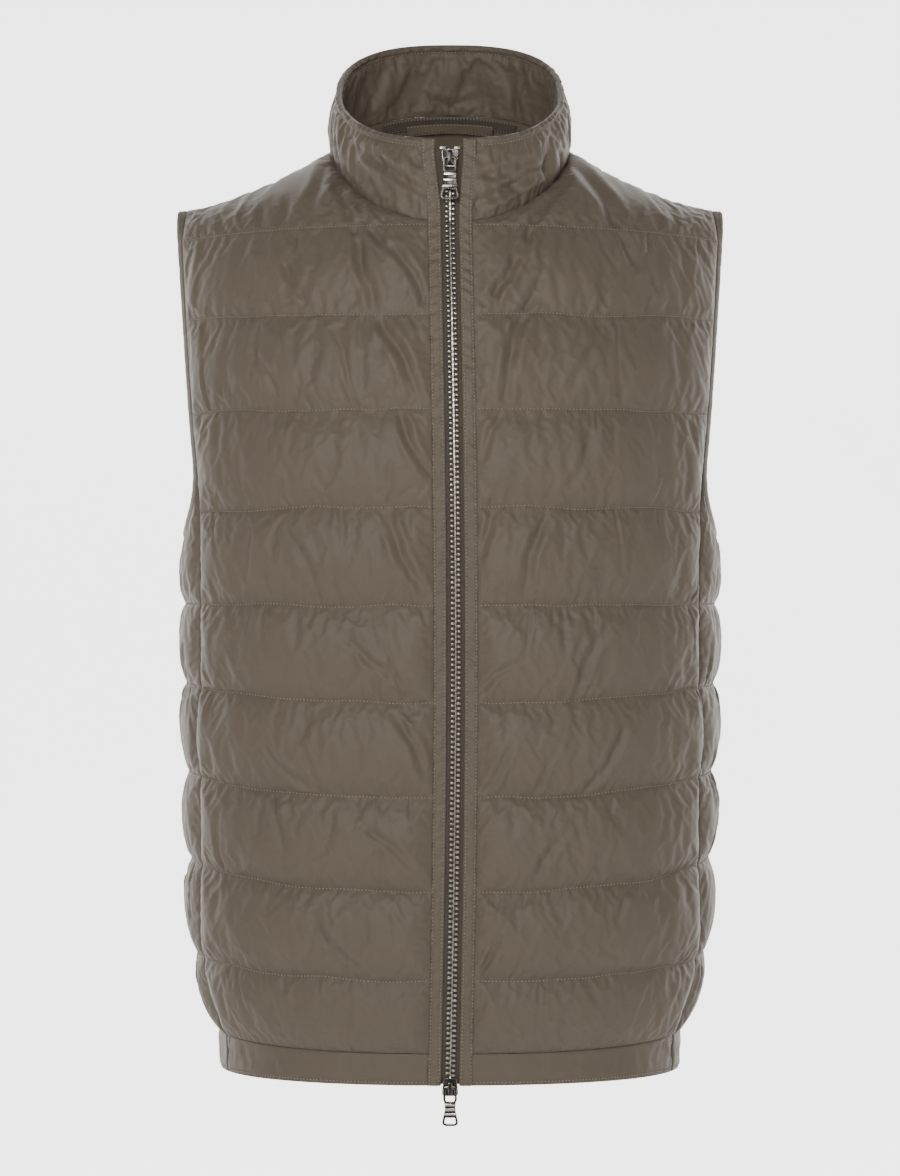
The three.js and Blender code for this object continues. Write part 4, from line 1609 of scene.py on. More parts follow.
@dataclass
class FrontPanel(BodyPanel):
    """One quilted front, from the strip beside the zip to the side seam and armhole.

    Attributes:
        flank: Which front.
        mouth: Lowest and highest place of the pocket's mouth.
        mouth_stand: How far its edge stands off there.
        mouth_reach: How far in from the edge that begins.
        tack: Where the bar tacks at its ends start and end, from the edge inwards.
        tack_rows: Heights of a bar tack's rows.
    """

    flank: Flank = Flank.LEFT
    facing: Facing = Facing.FRONT
    mouth: tuple[float, float] = (-432.0, -369.0)
    mouth_stand: float = 3.6
    mouth_reach: float = 24.0
    tack: tuple[float, float] = (8.6, 1.6)
    tack_rows: tuple[float, ...] = (-1.2, -0.6, 0.0, 0.6, 1.2)

    def mouth_lift(self, flat: Array, wide: float) -> Array:
        """How far the front's free edge stands off the side at the pocket's mouth.

        Args:
            flat: Flat places.
            wide: The front's flat width.

        Returns:
            Distances.
        """
        low, high = (z - BODY.hem_seam for z in self.mouth)
        share = np.clip((flat[:, 1] - low) / (high - low), 0, 1)
        near = smooth_step(wide - self.mouth_reach, wide, flat[:, 0])
        return self.mouth_stand * np.sin(np.pi * share) * near

    def tacks(self, net: FlatNet, outer: Array, out: Array) -> Seams:
        """Bar tacks at both ends of the pocket's mouth."""
        wide = float(net.points[:, 0].max())
        made = []
        for z in self.mouth:
            for row in self.tack_rows:
                across = np.linspace(*(wide - far for far in self.tack), 6)
                at = np.stack([across, np.full(6, z - BODY.hem_seam + row)], axis=1)
                gap = np.linalg.norm(net.points[None, :, :] - at[:, None, :], axis=2)
                share = 1 / (gap + 0.3) ** 3
                share /= share.sum(axis=1, keepdims=True)
                made.append((share @ outer, unit(share @ out)))
        return made

    def inner_x(self, z: Array) -> Array:
        """Where the front starts beside the zip's strip."""
        return BODY.strip_outer_x + self.flank.value * BODY.zip_bow(z)

    def outline(self) -> Array:
        """The flat outline, turning left."""
        p, q, wide = self.half_outline()
        top = np.stack([p, q], axis=1)[::-1]
        corners = np.vstack([[[0.0, 0.0], [wide, 0.0]], top])
        return self.stepped(corners, [0, 1, 2, len(corners) - 1])

    def stepped(self, corners: Array, breaks: list[int]) -> Array:
        """Walks the outline in equal steps, keeping its corners.

        Args:
            corners: The outline's points.
            breaks: Which of them are real corners.

        Returns:
            The outline, not repeating its start.
        """
        closed = np.vstack([corners, corners[:1]])
        ends = breaks[1:] + [len(corners)]
        runs = [closed[start : end + 1] for start, end in zip(breaks, ends)]
        return np.vstack([spaced(run, self.step)[:-1] for run in runs])

    def quilt_rows(self) -> list[Array]:
        """The flat quilt lines, which stop a little short of the seams."""
        _, _, wide = self.half_outline()
        gap = 0.7 * self.step
        return [straight((gap, q), (wide - gap, q), self.step) for q in self.line_heights()]

    def place(self, flat: Array) -> tuple[Array, Array, Array]:
        """Puts flat places on the worn form."""
        _, _, wide = self.half_outline()
        stray = self.wander(flat, wide, self.chest)
        base, out, puff = self.place_half(flat[:, 0], flat[:, 1], stray)
        base = base + out * self.mouth_lift(flat, wide)[:, None]
        base[:, 0] *= self.flank.value
        out[:, 0] *= self.flank.value
        return base, out, puff

    def turned(self) -> bool:
        """The mirrored front's net faces inwards."""
        return self.flank is Flank.LEFT


@dataclass
class BackPanel(BodyPanel):
    """The quilted back, in one piece from side seam to side seam.

    Attributes:
        yoke_line: Height of the quilt line across the yoke, above the one below it.
    """

    facing: Facing = Facing.BACK
    yoke_line: float = 60.0

    def inner_x(self, z: Array) -> Array:
        """The back starts at the middle."""
        return np.zeros_like(z)

    def outline(self) -> Array:
        """The flat outline, turning left."""
        p, q, wide = self.half_outline()
        right = np.stack([p, q], axis=1)[::-1]
        left = np.stack([-p, q], axis=1)[1:]
        bottom = straight((-wide, 0.0), (wide, 0.0), self.step)
        up = straight((wide, 0.0), (wide, q[-1]), self.step)
        top = spaced(np.vstack([right, left]), self.step)
        down = straight((-wide, q[-1]), (-wide, 0.0), self.step)
        return np.vstack([run[:-1] for run in (bottom, up, top, down)])

    def quilt_rows(self) -> list[Array]:
        """The flat quilt lines, with one more across the yoke."""
        p, q, wide = self.half_outline()
        gap = 0.7 * self.step
        rows = [straight((gap - wide, h), (wide - gap, h), self.step) for h in self.line_heights()]
        high = self.chest + self.yoke_line
        reach = float(p[np.flatnonzero(q > high)[-1]]) - self.step
        return [*rows, straight((-reach, high), (reach, high), self.step)]

    def place(self, flat: Array) -> tuple[Array, Array, Array]:
        """Puts flat places on the worn form."""
        _, _, wide = self.half_outline()
        stray = self.wander(flat, 1.2 * wide, self.chest)
        base, out, puff = self.place_half(np.abs(flat[:, 0]), flat[:, 1], stray)
        side = np.where(flat[:, 0] < 0, -1.0, 1.0)
        base[:, 0] *= side
        out[:, 0] *= side
        return base, out, puff

    def turned(self) -> bool:
        """The back's net faces inwards."""
        return True


@dataclass
class SidePanel(QuiltedPanel):
    """The quilted side under the arm, from front seam to back seam, scooped at its top.

    Attributes:
        flank: Which side.
        top_line: The uppermost quilt line that crosses it.
        corner_level: Level of the armhole's lower corners.
        scoop: How deep the armhole's bottom lies below the corners.
        corner_drop: How far the side's corners lie below the front's.
        puff_share: Its puff as a share of the front's.
        flat_width: Its width in the flat.
    """

    flank: Flank = Flank.LEFT
    top_line: int = 6
    corner_level: float = 7.5
    scoop: float = 54
    corner_drop: float = 1.6
    puff_share: float = 0.6
    flat_width: float = 118

    @property
    def low(self) -> float:
        """Flat height of the uppermost quilt line."""
        return BODY.lines[self.top_line].centre - BODY.panel_bottom

    def tall(self, share: Array) -> Array:
        """Flat height of the part above the uppermost quilt line."""
        corner = BODY.level_height(self.corner_level) - self.corner_drop
        return corner - self.scoop * np.sin(np.pi * share) - BODY.lines[self.top_line].centre

    def outline(self) -> Array:
        """The flat outline, turning left."""
        share, wide = np.linspace(1, 0, 60), float(self.flat_width)
        top = np.stack([share * wide, self.low + self.tall(share)], axis=1)
        high = float(top[0, 1])
        bottom = straight((0.0, 0.0), (wide, 0.0), self.step)
        up = straight((wide, 0.0), (wide, high), self.step)
        down = straight((0.0, high), (0.0, 0.0), self.step)
        return np.vstack([run[:-1] for run in (bottom, up, spaced(top, self.step), down)])

    def quilt_rows(self) -> list[Array]:
        """The flat quilt lines."""
        heights = [line.centre - BODY.panel_bottom for line in BODY.lines[2 : self.top_line + 1]]
        gap = 0.7 * self.step
        return [straight((gap, h), (self.flat_width - gap, h), self.step) for h in heights]

    def place(self, flat: Array) -> tuple[Array, Array, Array]:
        """Puts flat places on the worn form."""
        share, q = flat[:, 0] / self.flat_width, flat[:, 1]
        tall = self.tall(share)
        v = np.clip((q - self.low) / tall, 0, 1)
        stray = self.wander(flat, self.flat_width, self.low)
        above = q > self.low
        high = BODY.lines[self.top_line].centre + v * tall
        z = np.where(above, high, BODY.panel_bottom + q) + np.where(above, 0, stray)
        spread = mix(-np.cos(np.pi * share), 2 * share - 1, 1 - v)
        edge = BODY.edge_x(z)
        ahead = np.abs(BODY.depth_at(edge, z, -1)) - BODY.seam_shift
        behind = np.abs(BODY.depth_at(edge, z, 1)) - BODY.seam_shift
        y = spread * np.where(spread < 0, ahead, behind)
        x = BODY.width_at(y, z)
        base = np.stack([x, y, BODY.height_at(z, x)], axis=-1)
        out = BODY.normal(x, y, z)
        rise = np.where(above, smooth_step(0, 60, tall), 1)
        puff = self.puff_share * BODY.puff_at(z, self.top_line) * rise
        base[:, 0] *= self.flank.value
        out[:, 0] *= self.flank.value
        return base, out, puff

    def turned(self) -> bool:
        """The mirrored side's net faces inwards."""
        return self.flank is Flank.LEFT

    def view_of(self, points: Array) -> tuple[Array, Array]:
        """The creases are drawn in the side view."""
        return points[:, 1], points[:, 2]


# Stage


@dataclass(frozen=True)
class Lamp:
    """A soft square light: its place and width in metres, and its power in watts."""

    name: str
    place: tuple[float, float, float]
    size: float
    power: float


@dataclass(frozen=True)
class Stage:
    """Plain pale floor that curves up behind, soft studio light, and the camera.

    Attributes:
        camera_distance: From the vest's middle, in metres.
        camera_height: Height of the level camera, in metres.
        focal_px: Focal length in the photograph's pixels.
        image_tall_px: The photograph's height.
        floor_z: Height of the floor, in metres.
        floor_start: Depth at which the floor starts, in metres.
        floor_half: Half its width.
        curve: Depth at which it starts to curve up, and the curve's radius.
        floor_top: Height of its top above the floor.
        glow_depth: Between which depths it starts to give light of its own.
        backdrop_glow: How much light that is.
        world_light: Light from all round.
        lamps: The studio's lights.
    """

    camera_distance: float = 2.4
    camera_height: float = -0.29
    focal_px: float = 3333.0
    image_tall_px: float = 1176.0
    floor_z: float = -0.94
    floor_start: float = -12.0
    floor_half: float = 9.0
    curve: float = 1.2
    floor_top: float = 4.0
    glow_depth: tuple[float, float] = (0.4, 1.3)
    backdrop_glow: float = 2.8
    world_light: float = 0.2
    lamps: tuple[Lamp, ...] = (
        Lamp("key", (-0.35, -1.9, 0.35), 0.8, 22.0),
        Lamp("fill", (1.5, -2.4, -0.1), 1.4, 6.0),
        Lamp("rear", (0.9, 2.2, -0.1), 1.4, 9.0),
    )

    def camera(self) -> None:
        """Makes the level camera at the photograph's angle."""
        lens = bpy.data.cameras.new("camera")
        lens.sensor_fit = "VERTICAL"
        lens.sensor_height = 36.0
        lens.lens = self.focal_px / self.image_tall_px * 36.0
        lens.dof.use_dof = False
        made = bpy.data.objects.new("camera", lens)
        made.location = (0.0, -self.camera_distance, self.camera_height)
        made.rotation_euler = (math.radians(90), 0.0, 0.0)
        bpy.context.scene.collection.objects.link(made)
        bpy.context.scene.camera = made

    def floor(self) -> None:
        """Makes the floor with its curve up at the back."""
        bend = self.curve
        profile = [(self.floor_start, 0.0), (bend, 0.0)]
        for turn in np.linspace(0.1, math.pi / 2, 12):
            profile.append((bend + bend * math.sin(turn), bend - bend * math.cos(turn)))
        profile.append((2 * bend, self.floor_top))
        sides = (-self.floor_half, self.floor_half)
        points = [(x, y, self.floor_z + z) for y, z in profile for x in sides]
        faces = [(2 * k, 2 * k + 1, 2 * k + 3, 2 * k + 2) for k in range(len(profile) - 1)]
        mesh = bpy.data.meshes.new("floor")
        mesh.from_pydata(points, [], faces)
        mesh.polygons.foreach_set("use_smooth", np.ones(len(mesh.polygons), dtype=bool))
        net = Shading("pale_floor")
        near, far = self.glow_depth
        behind = {0: net.split(net.place())[1], 1: near, 2: far, 3: 0.0, 4: 1.0}
        glow = net.signal("ShaderNodeMapRange", {"interpolation_type": "SMOOTHSTEP"}, behind)
        pale = {"Base Color": (0.85, 0.85, 0.85, 1), "Roughness": 0.9}
        pale["Emission Color"] = net.blend((0.0, 0.0, 0.0, 1), (1.0, 1.0, 1.0, 1), glow)
        pale["Emission Strength"] = self.backdrop_glow
        mesh.materials.append(net.finish(pale))
        made = bpy.data.objects.new("floor", mesh)
        bpy.context.scene.collection.objects.link(made)

    def light(self, lamp: Lamp) -> None:
        """Adds a soft light aimed at the vest's middle."""
        data = bpy.data.lights.new(lamp.name, "AREA")
        data.shape = "RECTANGLE"
        data.size = data.size_y = lamp.size
        data.energy = lamp.power
        made = bpy.data.objects.new(lamp.name, data)
        made.location = lamp.place
        aim = Vector((0.0, 0.0, self.camera_height)) - Vector(lamp.place)
        made.rotation_euler = aim.to_track_quat("-Z", "Y").to_euler()
        bpy.context.scene.collection.objects.link(made)

    def build(self) -> None:
        """Makes the camera, floor, lights and surroundings."""
        self.camera()
        self.floor()
        for lamp in self.lamps:
            self.light(lamp)
        world = bpy.data.worlds.new("studio")
        world.use_nodes = True
        colour, strength = world.node_tree.nodes["Background"].inputs[:2]
        colour.default_value = (1.0, 1.0, 1.0, 1.0)
        strength.default_value = self.world_light
        bpy.context.scene.world = world


# Stitching


@dataclass
class Stitching:
    """Rows of stitches as small beads of thread.

    Attributes:
        thread: The finish.
        pitch: Distance from one stitch to the next.
        length: Length of a stitch.
        width: Width of the thread.
        stand: How far its middle stands out.
    """

    thread: bpy.types.Material
    pitch: float = 2.5
    length: float = 1.4
    width: float = 0.8
    stand: float = 0.4

    def bead(self) -> tuple[Array, Array]:
        """One stitch along the first axis, standing out along the third.

        Returns:
            Corners and triangles.
        """
        ring = np.array([[1, 0], [0, 1], [-1, 0], [0, -1]]) * 0.5
        ends = np.array([[-0.5, 0, -0.25], [0.5, 0, -0.25]])
        rings = [[[x, y, z + lift] for y, z in ring] for x, lift in ((-0.3, 0.1), (0.3, 0.1))]
        corners = np.vstack([ends, rings[0], rings[1]])
        faces = []
        for k in range(4):
            n = (k + 1) % 4
            faces += [[0, 2 + n, 2 + k], [2 + k, 2 + n, 6 + n], [2 + k, 6 + n, 6 + k], [1, 6 + k, 6 + n]]
        return corners, np.array(faces)

    def build(self, name: str, runs: Seams) -> bpy.types.Object:
        """Sews rows of stitches.

        Args:
            name: Name of the piece.
            runs: Points and outward directions of each row.

        Returns:
            One object with every stitch.
        """
        corners, faces = self.bead()
        places, alongs, outs = [], [], []
        for path, out in runs:
            length = along_path(path)
            stops = np.arange(self.pitch / 2, length[-1], self.pitch)
            behind, ahead = (read_along(stops + step, length, path) for step in (-0.6, 0.6))
            places.append(read_along(stops, length, path))
            alongs.append(ahead - behind)
            outs.append(unit(read_along(stops, length, out)))
        place, along, out = np.vstack(places), unit(np.vstack(alongs)), np.vstack(outs)
        out = unit(out - along * (out * along).sum(axis=1, keepdims=True))
        aside = np.cross(out, along)
        dice = np.random.default_rng(11)
        size = self.length * dice.uniform(0.88, 1.08, len(place))
        points = (
            place[:, None, :]
            + along[:, None, :] * (corners[None, :, :1] * size[:, None, None])
            + aside[:, None, :] * (corners[None, :, 1:2] * self.width)
            + out[:, None, :] * (corners[None, :, 2:] * self.width * 0.8 + self.stand)
        )
        shift = (np.arange(len(place)) * len(corners))[:, None, None]
        every = (faces[None, :, :] + shift).reshape(-1, 3)
        flat = points.reshape(-1, 3)
        patch = Patch(flat, every.tolist(), flat[:, :2], np.zeros(len(flat)))
        return fastened(solid_object(name, patch, self.thread), "plain_nylon")


# Plain cloth: bindings, bands, strips and tapes


@dataclass
class ArmholeBinding:
    """Strip of the shell cloth all round one armhole, sewn down near its free edge.

    Attributes:
        cloth: The finish.
        side: The side panel whose top it follows.
        flank: Which armhole.
        width: Its width.
        half: Half its thickness.
        gap: Space between it and the panels.
        corner_level: Level of the armhole's lower corners.
        shares: Where its rows of corners lie across it.
        sewn_at: How far across it the sewing draws it in.
        sewn_row: The row of corners that the stitches follow.
        seams: Points and outward directions of its rows of stitches.
    """

    cloth: bpy.types.Material
    side: SidePanel
    front: FrontPanel
    back: BackPanel
    flank: Flank = Flank.LEFT
    width: float = 7.0
    half: float = 1.1
    gap: float = 0.35
    corner_level: float = 7.5
    shares: tuple[float, ...] = (0, 0.08, 0.2, 0.34, 0.48, 0.6, 0.72, 0.82, 0.92, 1.0)
    sewn_at: float = 5.4
    sewn_row: int = 6
    seams: Seams = field(default_factory=list)

    def panel_edge(self, panel: BodyPanel) -> tuple[Array, Array]:
        """The outer edge of a front or back from the armhole's corner up.

        Args:
            panel: The panel.

        Returns:
            Points and outward directions, on the right side.
        """
        _, top, wide = panel.half_outline()
        low = BODY.level_height(self.corner_level) - BODY.panel_bottom
        q = np.linspace(low, top[-1], 90)
        base, out, _ = panel.place_half(np.full_like(q, wide), q, np.zeros_like(q))
        return base, out

    def ring(self) -> tuple[Array, Array]:
        """The armhole's edge as a loop.

        Returns:
            Points and outward directions, on the right side.
        """
        front, front_out = self.panel_edge(self.front)
        back, back_out = self.panel_edge(self.back)
        share = np.linspace(1, 0, 60)[1:-1]
        flat = np.stack([share * self.side.flat_width, self.side.low + self.side.tall(share)], axis=1)
        under, under_out, _ = self.side.place(flat)
        under[:, 0], under_out[:, 0] = np.abs(under[:, 0]), np.abs(under_out[:, 0])
        points = np.vstack([front, back[::-1][1:], under])
        outs = np.vstack([front_out, back_out[::-1][1:], under_out])
        both = spaced(np.hstack([points, outs * 1e-3]), 2.4, closed=True)
        return both[:, :3], unit(both[:, 3:])

    def build(self) -> bpy.types.Object:
        """Builds the binding.

        Returns:
            The binding's object.
        """
        points, out = self.ring()
        along = np.roll(points, -2, axis=0) - np.roll(points, 2, axis=0)
        hole = unit(np.cross(unit(along), out))
        rise = along_path(points)
        shares = np.array(self.shares)
        reach = self.gap + self.width * shares[:, None, None]
        base = points[None] + hole[None] * reach
        a = np.broadcast_to(rise, (len(shares), len(points)))
        b = np.broadcast_to(shares[:, None] * self.width, a.shape)
        round_off = np.clip(1 - ((shares - 0.5) / 0.5) ** 8, 0.25, 1)[:, None]
        seam = bell(b, self.sewn_at, 0.7)
        pucker = ripple(a, b * 0.35, 31, 13.0, 3) * 0.28
        lift = self.half * round_off + pucker * (1 - seam) - 0.35 * seam
        outer = base + out[None] * lift[..., None]
        inner = base - out[None] * (self.half * round_off)[..., None]
        side = self.flank.value
        outer, inner = outer * [side, 1, 1], inner * [side, 1, 1]
        turned = out * [side, 1, 1]
        row = outer[self.sewn_row]
        self.seams = [(np.vstack([row, row[:1]]), np.vstack([turned, turned[:1]]))]
        clearance = np.abs(b - self.sewn_at)
        patch = wall(outer, inner, (a, b), clearance, True, self.flank is Flank.RIGHT)
        word = self.flank.word
        piece = solid_object(f"binding_{word}", patch, self.cloth)
        fastened(piece, "plain_nylon", f"armhole_binding_{word}")
        declare_strip(self.width, float(rise[-1]))
        return piece


@dataclass
class HemBand:
    """Flat band round the hem: two fronts and one piece round the sides and back.

    Attributes:
        cloth: The finish.
        half: Half its thickness.
        tuck: How far its top edge runs up under the panels.
        tuck_in: How far that edge steps inwards, on its outer and its inner face.
        step: Distance between its columns.
        shares: Where its rows of corners lie on the way up.
        sewn_row: The row of corners that the lower stitches follow.
        seams: Points and outward directions of its rows of stitches.
    """

    cloth: bpy.types.Material
    half: float = 1.2
    tuck: float = 1.4
    tuck_in: tuple[float, float] = (1.5, 1.9)
    step: float = 2.6
    shares: tuple[float, ...] = (0, 0.03, 0.1, 0.2, 0.32, 0.44, 0.56, 0.68, 0.8, 0.9, 0.97, 1.0)
    sewn_row: int = 2
    seams: Seams = field(default_factory=list)

    def section_path(self, z: float, start: float, end: float, side: int) -> Array:
        """The level section of the body between two widths, seen from above.

        Args:
            z: Height at the centre.
            start: Width where it starts.
            end: Width where it ends.
            side: 1 for a front, 0 for the run round the back.

        Returns:
            Points of x and y.
        """
        heights = np.full(400, z)
        if side:
            x = mix(start, end, np.linspace(0, 1, 400))
            return np.stack([x, BODY.depth_at(x, heights, -1)], axis=1)
        half, front, back, power = (BODY.column(name, z) for name in ("half", "front", "back", "power"))
        turn = math.asin((start / half) ** (power / 2))
        angle = np.linspace(turn, 2 * math.pi - turn, 900)
        sine, cosine = np.sin(angle), np.cos(angle)
        depth = np.where(cosine > 0, front, back)
        x = half * np.sign(sine) * np.abs(sine) ** (2 / power)
        y = -depth * np.sign(cosine) * np.abs(cosine) ** (2 / power)
        return np.stack([x, y], axis=1)

    def ends(self, z: float, mirror: int) -> tuple[float, float]:
        """Widths between which a run lies at a height; the one round the back ends as it starts."""
        edge = float(BODY.edge_x(z))
        if not mirror:
            return edge + BODY.seam_shift, edge + BODY.seam_shift
        return BODY.strip_outer_x + mirror * float(BODY.zip_bow(z)), edge - BODY.seam_shift

    def piece(self, name: str, node: str, mirror: int, seed: int) -> None:
        """Builds one run of the band.

        Args:
            name: Name of the piece.
            node: The solid it stands for.
            mirror: -1 or 1 for a front, 0 for the run round the back.
            seed: Chooses its creases.
        """
        low, high = BODY.hem_edge, BODY.hem_seam - BODY.seam_shift
        shares = np.array(self.shares)
        rows, outs = [], []
        count = 0
        for share in shares:
            z = mix(low, high, share)
            path = self.section_path(z, *self.ends(z, mirror), abs(mirror))
            count = count or len(spaced(path, self.step))
            length = along_path(path)
            flat = read_along(np.linspace(0, length[-1], count), length, path)
            heights = np.full(count, z)
            out = BODY.normal(flat[:, 0], flat[:, 1], heights)
            out[:, 2] = 0
            rows.append(np.column_stack([flat, BODY.height_at(heights, flat[:, 0])]))
            outs.append(unit(out))
        base, out = np.array(rows), np.array(outs)
        tall = high - low
        a = np.broadcast_to(along_path(base[0]), base.shape[:2])
        b = np.broadcast_to(shares[:, None] * tall, a.shape)
        round_off = thinned(shares, 0.3)[:, None]
        sewn_at = self.shares[self.sewn_row]
        low_seam = bell(b, sewn_at * tall, 0.9)
        middle = np.sin(np.pi * np.clip((b / tall - sewn_at) / (1 - sewn_at), 0, 1))
        waves = ripple(a, b * 0.4, seed, 26.0, 4) + 0.7 * ripple(a, b, seed + 3, 9.0, 3)
        pucker = waves * (0.25 + 0.75 * middle)
        lift = self.half * round_off + 1.15 * pucker * round_off - 0.4 * low_seam
        outer = base + out * lift[..., None]
        inner = base - out * (self.half * round_off)[..., None]
        for face, inwards in zip((outer, inner), self.tuck_in):
            face[-1] += [0.0, 0.0, self.tuck] - out[-1] * inwards
        if mirror:
            outer, inner, out = (rows * [mirror, 1, 1] for rows in (outer, inner, out))
        self.seams.append((outer[self.sewn_row], out[self.sewn_row]))
        if mirror:
            self.seams.append((outer[1:-1, -2], out[1:-1, -2]))
        clearance = np.minimum(np.abs(b - sewn_at * tall), tall - b)
        patch = wall(outer, inner, (a, b), clearance, False, mirror < 0)
        made = fastened(solid_object(name, patch, self.cloth), "plain_nylon", node)
        declare_strip(tall, float(a[0, -1]))

    def build(self) -> None:
        """Builds the three runs of the band."""
        for flank in Flank:
            run = f"front_{flank.word}"
            self.piece(f"band_{run}", f"hem_band_{run}", flank.value, 50 + flank.value)
        self.piece("band_back", "hem_band_back", 0, 57)


# Collar


@dataclass
class Collar:
    """Padded stand collar, sewn down along its top edge and rounded at its front corners.

    Attributes:
        cloth: The finish.
        fill: How it is filled.
        half: Half width of the rim.
        middle_y: Depth of the rim's middle.
        reach: How far the rim reaches before and behind its middle.
        back_power: Squareness of the rim's back.
        front_z: Height of the rim at the front.
        front_y: Depth at which it has that height.
        slope: How steeply the rim climbs towards the back.
        lift: Gap above the neckline.
        end_x: Distance of its ends from the middle.
        bulge: How far its middle stands outside the straight way up.
        corner: Radius of its front corners.
        topstitch: Share of the way up at which its edge is sewn.
        rim_roll: How far the cloth beyond that sewing rolls outwards.
        start_angle: Turn from the centre front at which it starts, in degrees.
        front_rise: How much higher the rim stands at the front.
        front_turn: How far round that rise reaches.
        creases: Folds across its front, drawn in the front view.
        back_creases: Folds across its back, drawn in the back view.
        spacing: Distance between its columns of corners.
        levels: Where its rows of corners lie on the way up, with the topstitch among them.
        measured_row: The row along which its length is measured.
        wall_half: Half the thickness of its sewn layers.
        swell: How far each face stands out between its sewings.
        give: How far the filling may push a corner.
        seams: Points and outward directions of its rows of stitches.
    """

    cloth: bpy.types.Material
    fill: Fill = field(default_factory=lambda: Fill(gather=0.04, frames=22, bending=0.1))
    half: float = 79
    middle_y: float = -17
    reach: float = 83
    back_power: float = 2.6
    front_z: float = 16
    front_y: float = -100
    slope: float = 0.576
    lift: float = 0.35
    end_x: float = 14.9
    bulge: float = 1.2
    corner: float = 6.0
    topstitch: float = 0.9
    rim_roll: float = 1.7
    start_angle: float = 9.7
    front_rise: float = 4.5
    front_turn: float = 0.55
    creases: tuple[Crease, ...] = (
        Crease(((-59, 16), (-33, -7), (-15, -20)), 3.2, 3.2),
        Crease(((-59, 4), (-47, -22)), 2.2, 2.8),
        Crease(((-32, 19), (-25, 5), (-15, -1)), 2.0, 2.4),
        Crease(((64, 5), (35, -16), (16, -26)), 3.3, 3.4),
        Crease(((50, 1), (33, -5), (16, -5)), 2.3, 2.8),
        Crease(((27, -5), (36, -15)), 1.9, 2.4),
        Crease(((58, 9), (29, -2)), 1.9, 2.6),
        Crease(((-72, 40), (-62, 12), (-58, -8)), 2.2, 3.2),
        Crease(((74, 44), (66, 20), (63, -2)), 2.3, 3.2),
    )
    back_creases: tuple[Crease, ...] = (
        Crease(((-38, 104), (-44, 76)), 2.2, 3.0),
        Crease(((52, 100), (60, 72)), 2.3, 3.0),
        Crease(((6, 106), (14, 84)), 1.5, 2.6),
        Crease(((-16, 74), (2, 68), (22, 74)), 1.6, 3.2),
        Crease(((-66, 92), (-58, 66)), 2.0, 2.8),
    )
    spacing: float = 2.7
    levels: tuple[float, ...] = (
        (0, 0.04, 0.09, 0.14, 0.19, 0.24, 0.29, 0.34, 0.39, 0.44, 0.49)
        + (0.54, 0.59, 0.64, 0.69, 0.74, 0.79, 0.84, 0.9, 0.94, 0.975, 1.0)
    )
    measured_row: int = 10
    wall_half: float = 0.8
    swell: float = 3.1
    give: float = 2.2
    seams: Seams = field(default_factory=list)

    @property
    def sewn_row(self) -> int:
        """The row of corners along the topstitch."""
        return self.levels.index(self.topstitch)

    def rim(self, angle: Array) -> Array:
        """Points of the rim at a turn from the centre front."""
        sine, cosine = np.sin(angle), np.cos(angle)
        power = np.where(cosine > 0, 2.0, self.back_power)
        x = self.half * np.sign(sine) * np.abs(sine) ** (2 / power)
        y = self.middle_y - self.reach * np.sign(cosine) * np.abs(cosine) ** (2 / power)
        rise = self.front_rise * bell(np.arccos(np.clip(cosine, -1, 1)), 0.0, self.front_turn)
        return np.stack([x, y, self.front_z + self.slope * (y - self.front_y) + rise], axis=-1)

    def middle(self, angle: Array, up: Array) -> Array:
        """Points midway through the collar.

        Args:
            angle: Turn from the centre front.
            up: 0 at the seam, 1 at the rim.

        Returns:
            Points.
        """
        seam, rim = BODY.neckline(angle), self.rim(angle)
        seam = seam + unit(rim - seam) * self.lift
        outward = np.stack([np.sin(angle), -np.cos(angle), np.zeros_like(angle)], axis=-1)
        return mix(seam, rim, up[..., None]) + outward * (self.bulge * np.sin(np.pi * up))[..., None]

    def out(self, angle: Array, up: Array) -> Array:
        """Outward directions of the collar."""
        step = 0.02
        around = self.middle(angle + step, up) - self.middle(angle - step, up)
        above, below = np.minimum(up + step, 1), np.maximum(up - step, 0)
        return unit(np.cross(around, self.middle(angle, above) - self.middle(angle, below)))

    def turns(self) -> Array:
        """Turns of the columns, equally spaced round the neckline."""
        start = math.radians(self.start_angle)
        fine = np.linspace(start, 2 * math.pi - start, 1200)
        length = along_path(self.middle(fine, np.full_like(fine, 0.6)))
        stops = np.linspace(0, length[-1], int(length[-1] / (self.spacing * COARSE)))
        return np.interp(stops, length, fine)

